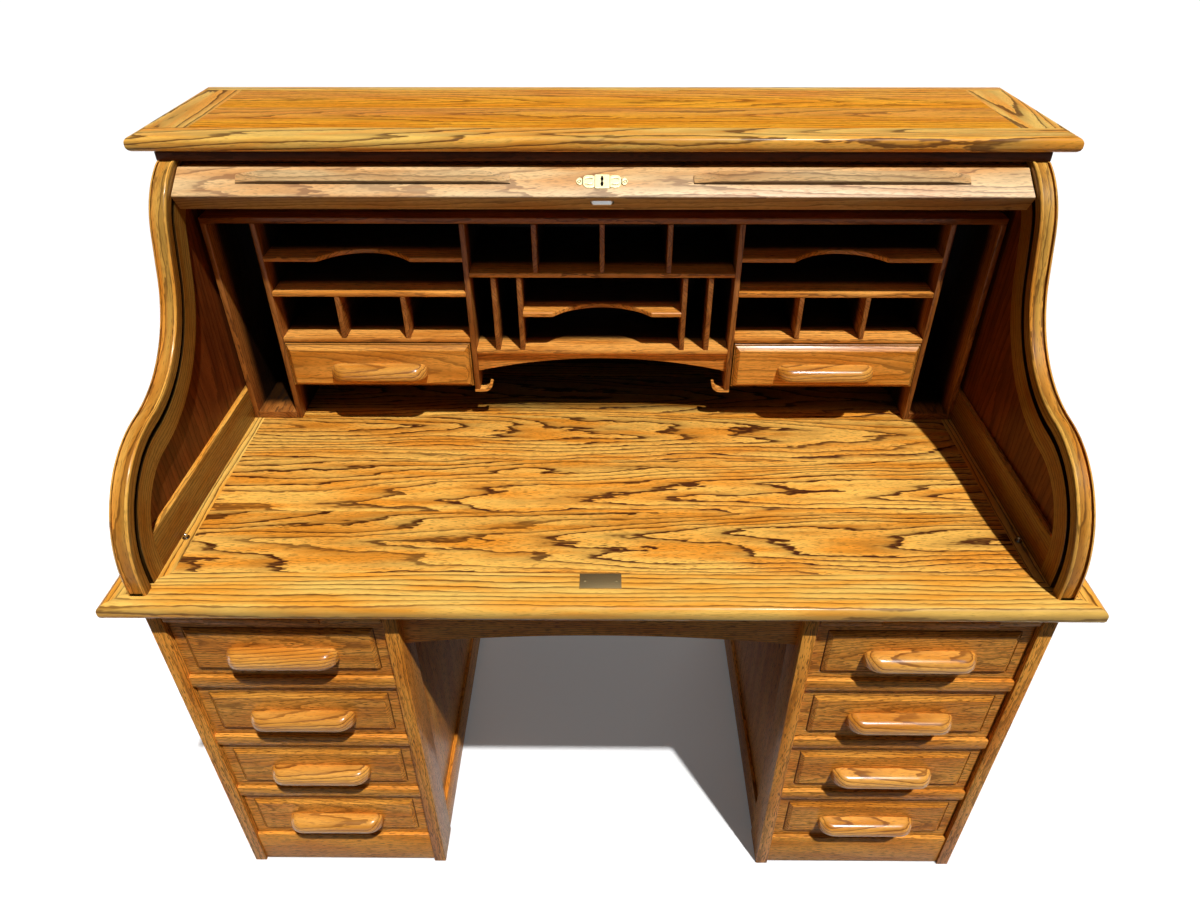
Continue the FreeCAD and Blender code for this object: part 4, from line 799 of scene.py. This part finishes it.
# A plain weave of thick threads is pale, rough and dull. Threads are drawn about twice as thick as real
# ones, so that they show.
duck, tree = bare_material("unbleached cotton duck")
place = add(tree, "ShaderNodeTexCoord").outputs["Object"]
thread_mm = 2.4
weave_scale = 1000 * np.pi / (10 * thread_mm)
weft, warp = (add(tree, "ShaderNodeTexWave", {"Vector": place, "Scale": weave_scale}, bands_direction=way)
              for way in ("X", "Z"))
weave = add(tree, "ShaderNodeMath", {0: weft.outputs["Fac"], 1: warp.outputs["Fac"]}, operation="MULTIPLY")
thread = add(tree, "ShaderNodeMix", {"Factor": weave, 6: linear("#B8A686"), 7: linear("#D8C9AA")},
             data_type="RGBA")
cloth = add(tree, "ShaderNodeBsdfPrincipled", {"Base Color": thread, "Roughness": 0.9})
add(tree, "ShaderNodeOutputMaterial", {"Surface": cloth})
mesh = bpy.data.meshes.new("roll_canvas")
mesh.from_pydata(cloth_points.reshape(-1, 3), [], cells.tolist())
mesh.materials.append(duck)
canvas = placed("roll_canvas", mesh)
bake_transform(canvas)


# Escutcheon: a plate stamped from brass sheet and pinned over the keyhole. Lobes with engraved strokes
# stand each side of the body, and a pin goes through each rounded end.
def plate_height(x):
    """Half height along the plate: the highest of the body, a shoulder, a neck and a rounded end."""
    x = np.abs(x)
    body = 14.0 * np.clip(1 - (x / 13.0) ** 8, 0, 1) ** (1 / 8)
    shoulder = 12.6 * np.clip(1 - (np.abs(x - 20.5) / 10.5) ** 3, 0, 1) ** (1 / 3)
    neck = np.where(x < 36, 5.0, 0)
    end = 7.6 * np.clip(1 - (np.abs(x - 36.0) / 6.0) ** 2, 0, 1) ** 0.8
    return np.maximum.reduce([body, shoulder, neck, end, np.full(x.shape, 0.25)])


def plate_part(x, low, high):
    """A part of the plate between two edges along x, in millimetres: rings across it, front and back.

    The front falls off at the outline, sinks in each engraved stroke and swells over each pin. Its
    tone is darker as it goes deeper, where the polish doesn't reach.
    """
    v = low[:, None] + (high - low)[:, None] * np.linspace(0, 1, 30)
    u = np.broadcast_to(np.abs(x)[:, None], v.shape)
    rim = np.clip(1 - (plate_height(x)[:, None] - np.abs(v)) / 0.9, 0, 1) ** 2
    stroke = np.exp(-((np.abs(v) - 4.6 - 1.6 * np.sin(np.pi * (u - 15) / 12)) / 0.8) ** 2)
    stroke *= np.abs(u - 21) < 6
    collar = np.exp(-((u - 31.6) / 0.7) ** 2) + 0.6 * np.exp(-((u - 12.2) / 0.5) ** 2)
    from_pin = np.hypot(u - 37.0, v)
    pin = np.clip(1 - from_pin / 1.8, 0, 1) ** 0.5
    ring_cut = np.exp(-((from_pin - 2.3) / 0.5) ** 2)
    sunk = np.maximum.reduce([stroke, collar, ring_cut])
    thick = 1.5
    front = np.minimum(thick - 0.5 * rim - 0.45 * sunk + 0.3 * pin, thick)
    back = np.zeros((len(x), 2))
    across, out = np.concatenate([v, v[:, [-1, 0]]], 1), np.concatenate([front, back], 1)
    rings = grid(x[:, None], across, out + 1000 * lead_face) / 1000
    tone = np.concatenate([1 - 0.75 * sunk - 0.3 * rim, back + 0.5], 1).ravel()
    points, faces = skin(on_roll(rings))
    return points, faces, points, tone


plate_half, hole_half, lobe, lobe_high, point = 42, 2.4, 4.8, 5.9, 1.6


def keyhole_edge(x):
    """Half height of each of the keyhole's two pointed lobes at a distance from its middle line."""
    return lobe_high * np.clip(1 - (np.abs(x) / hole_half) ** point, 0, 1) ** (1 / point)


# Polished brass is pale yellow and catches the light, with brown tarnish left in its engraved strokes.
brass, tree = bare_material("stamped brass")
place = add(tree, "ShaderNodeTexCoord").outputs["Object"]
wear = add(tree, "ShaderNodeTexNoise", {"Vector": place, "Scale": 1000 / 4, "Detail": 3.0})
shade = add(tree, "ShaderNodeMix", {"Factor": wear, 6: linear("#FFF6CC"), 7: linear("#F2E2A0")},
            data_type="RGBA")
depth = add(tree, "ShaderNodeAttribute", attribute_name="tone").outputs["Fac"]
clean = add(tree, "ShaderNodeMix", {"Factor": depth, 6: linear("#3A2408"), 7: shade}, data_type="RGBA")
rough = add(tree, "ShaderNodeMapRange", {"Value": wear, "To Min": 0.40, "To Max": 0.55})
dent = add(tree, "ShaderNodeBump", {"Strength": 0.2, "Distance": 0.0003, "Height": wear})
metal = add(tree, "ShaderNodeBsdfPrincipled",
            {"Base Color": clean, "Metallic": 1.0, "Roughness": rough, "Normal": dent})
add(tree, "ShaderNodeOutputMaterial", {"Surface": metal})
wing = np.linspace(hole_half + 0.01, plate_half, 80)
x = np.concatenate([-wing[::-1], np.linspace(-hole_half, hole_half, 25), wing])
hole = np.where(np.abs(x) <= hole_half, lobe + keyhole_edge(x), 0)
parts = [plate_part(x, hole, plate_height(x)), plate_part(x, -plate_height(x), -hole)]
x = np.linspace(1.15, hole_half, 8)
waist = lobe - keyhole_edge(x)
parts += [plate_part(hand * x, -waist, waist) for hand in (-1, 1)]
piece("escutcheon_plate", parts, brass, "tambour", "brass", "escutcheon")
# A near-black plate behind the keyhole, with a trace of brown, is painted shadow in the hole.
shadow_oak = oak("painted keyhole shadow", "#120A05", "#0C0603", "#080402", gloss=0.8, coat=0.0)
slot = board((-0.003, -0.011, lead_face - 0.001), (0.003, 0.011, lead_face + 0.0003), 1100, arris=0.0003)
piece("painted_keyhole_shadow", [(on_roll(slot[0]), *slot[1:])], shadow_oak, "tambour", "oak")

# Lock bolt: a bright steel bar that slides in the mortise of the lead rail's lower edge. Its nose is
# bevelled towards the sitter, and its ends are cut at a slant.
nose, bevel, slant, long, thick, sunk = -lead_half - 0.002, 0.0065, 0.0062, 0.022, 0.008, 0.018
x = np.array([[-0.019], [-0.0145], [0.0145], [0.019]])
lift = np.array([[slant], [0], [0], [slant]])
up = nose + np.concatenate([lift, lift, 0 * lift + bevel, 0 * lift + long, 0 * lift + long], 1)
out = lead_face - sunk + np.array([0, thick - bevel, thick, thick, 0])
bolt = carved(on_roll(grid(x, up, out)), 1110)
# Filed steel gives a white glint with fine lines along it.
bright_steel = steel("bright steel", "#ECECEA", 0.32, 0.8)
piece("latch_bolt", [bolt], bright_steel, "bolt", "steel", "lock_bolt")

# Roll catches: a small turned stud, screwed into the writing surface beside each roll side, that the lead
# rail comes down on.
# Nickel plate is a cool bright grey.
nickel = steel("nickel plate", "#CFCBC2", 0.2, 0.5)
girth = np.array([0.006, 0.006, 0.003, 0.003, 0.0024, 0.001])
rise = np.array([0, 0.0015, 0.0015, 0.006, 0.008, 0.009])
parts = [turned((hand * (inner_x - 0.007), front_edge + 0.158, desk_top), girth, rise, 18, 1200)
         for hand in (-1, 1)]
piece("roll_catches", parts, nickel, "desk", "steel")


# Studio: a wide pale floor, a key lamp high at the front right, a broad weak fill lamp in front, and low
# lamps behind the desk and at its left for the sides that the key misses, in a white surround.
# Matt paper is white where the camera or a reflection sees it, and throws little light up at the desk.
floor_mesh = bpy.data.meshes.new("studio_floor")
floor_mesh.from_pydata([(-40, -40, 0), (40, -40, 0), (40, 40, 0), (-40, 40, 0)], [], [(0, 1, 2, 3)])
floor = placed("studio_floor", floor_mesh)
pale, tree = bare_material("pale paper")
path = add(tree, "ShaderNodeLightPath")
seen = add(tree, "ShaderNodeMath", {0: path.outputs["Is Camera Ray"], 1: path.outputs["Is Glossy Ray"]},
           operation="MAXIMUM")
seen = add(tree, "ShaderNodeMath", {0: seen, 1: path.outputs["Is Transmission Ray"]}, operation="MAXIMUM")
lit = add(tree, "ShaderNodeBsdfDiffuse", {"Color": linear("#FAFAFA")})
dim = add(tree, "ShaderNodeBsdfDiffuse", {"Color": linear("#303030")})
glow = add(tree, "ShaderNodeEmission", {"Color": linear("#FFFFFF"), "Strength": 0.055})
both = add(tree, "ShaderNodeAddShader", {0: lit, 1: glow})
mixed = add(tree, "ShaderNodeMixShader", {0: seen, 1: dim, 2: both})
add(tree, "ShaderNodeOutputMaterial", {"Surface": mixed})
floor_mesh.materials.append(pale)

# The surround is white to the camera. Reflections see it bright near the floor and dim above, and it
# gives the object little light.
world = bpy.data.worlds.new("pale surround")
bpy.context.scene.world = world
world.use_nodes = True
tree = world.node_tree
tree.nodes.clear()
height = add(tree, "ShaderNodeSeparateXYZ", {0: add(tree, "ShaderNodeTexCoord").outputs["Generated"]})
walls = add(tree, "ShaderNodeMapRange", {"Value": height.outputs["Z"], "From Min": 0.06, "From Max": 0.16,
                                         "To Min": 1.0, "To Max": 0.03})
path = add(tree, "ShaderNodeLightPath")
seen = add(tree, "ShaderNodeMath", {0: path.outputs["Is Glossy Ray"], 1: path.outputs["Is Transmission Ray"]},
           operation="MAXIMUM")
level = add(tree, "ShaderNodeMapRange", {"Value": seen, "To Min": 0.02, "To Max": walls})
level = add(tree, "ShaderNodeMath", {0: level, 1: path.outputs["Is Camera Ray"]}, operation="MAXIMUM")
surround = add(tree, "ShaderNodeBackground", {"Color": linear("#FFFFFF"), "Strength": level})
add(tree, "ShaderNodeOutputWorld", {"Surface": surround})

for name, power, spread, toward in (("key lamp", 3.5, 1.2, (0.245, -0.38, 1.0)),
                                    ("fill lamp", 0.10, 50, (0.1, -1.0, 1.1))):
    lamp = bpy.data.lights.new(name, "SUN")
    lamp.energy = power
    lamp.angle = np.radians(spread)
    lamp_object = placed(name, lamp)
    lamp_object.rotation_euler = (np.arctan2(-toward[1], toward[2]),
                                  np.arctan2(toward[0], np.hypot(*toward[1:])), 0)
for name, place, turn in (("rear lamp", (0.3, cad_box[1][1] + 1.6, 0.65), (-np.pi / 2, 0, 0)),
                          ("side lamp", (cad_box[0][0] - 1.6, 0.2, 0.4), (np.pi / 2, 0, -np.pi / 2))):
    lamp = bpy.data.lights.new(name, "AREA")
    lamp.shape = "RECTANGLE"
    lamp.size, lamp.size_y, lamp.energy = 1.8, 0.7, 9.0
    lamp_object = placed(name, lamp)
    lamp_object.location, lamp_object.rotation_euler = place, turn
    lamp_object.visible_camera = False

# Camera: at the photograph's place, about 0.9 m in front of the desk and 1.7 m up, looking down on it,
# with the focal length that the desk's straight edges give for an image of 1200 by 900.
pitch, yaw, roll = np.radians([35.89, 0.459, -0.078])
focal_px, frame_px, sensor_mm = 839.6, 1200, 36.0
camera = placed("camera", bpy.data.cameras.new("camera"))
camera.data.sensor_width = sensor_mm
camera.data.lens = focal_px / frame_px * sensor_mm
stand = Matrix.Translation((0.0070, front_edge - 0.8774, 1.6974))
for angle, axis in ((yaw, "Z"), (np.pi / 2 - pitch, "X"), (roll, "Z")):
    stand = stand @ Matrix.Rotation(angle, 4, axis)
camera.matrix_world = stand
bpy.context.scene.camera = camera
bpy.context.scene.view_settings.view_transform = "Standard"
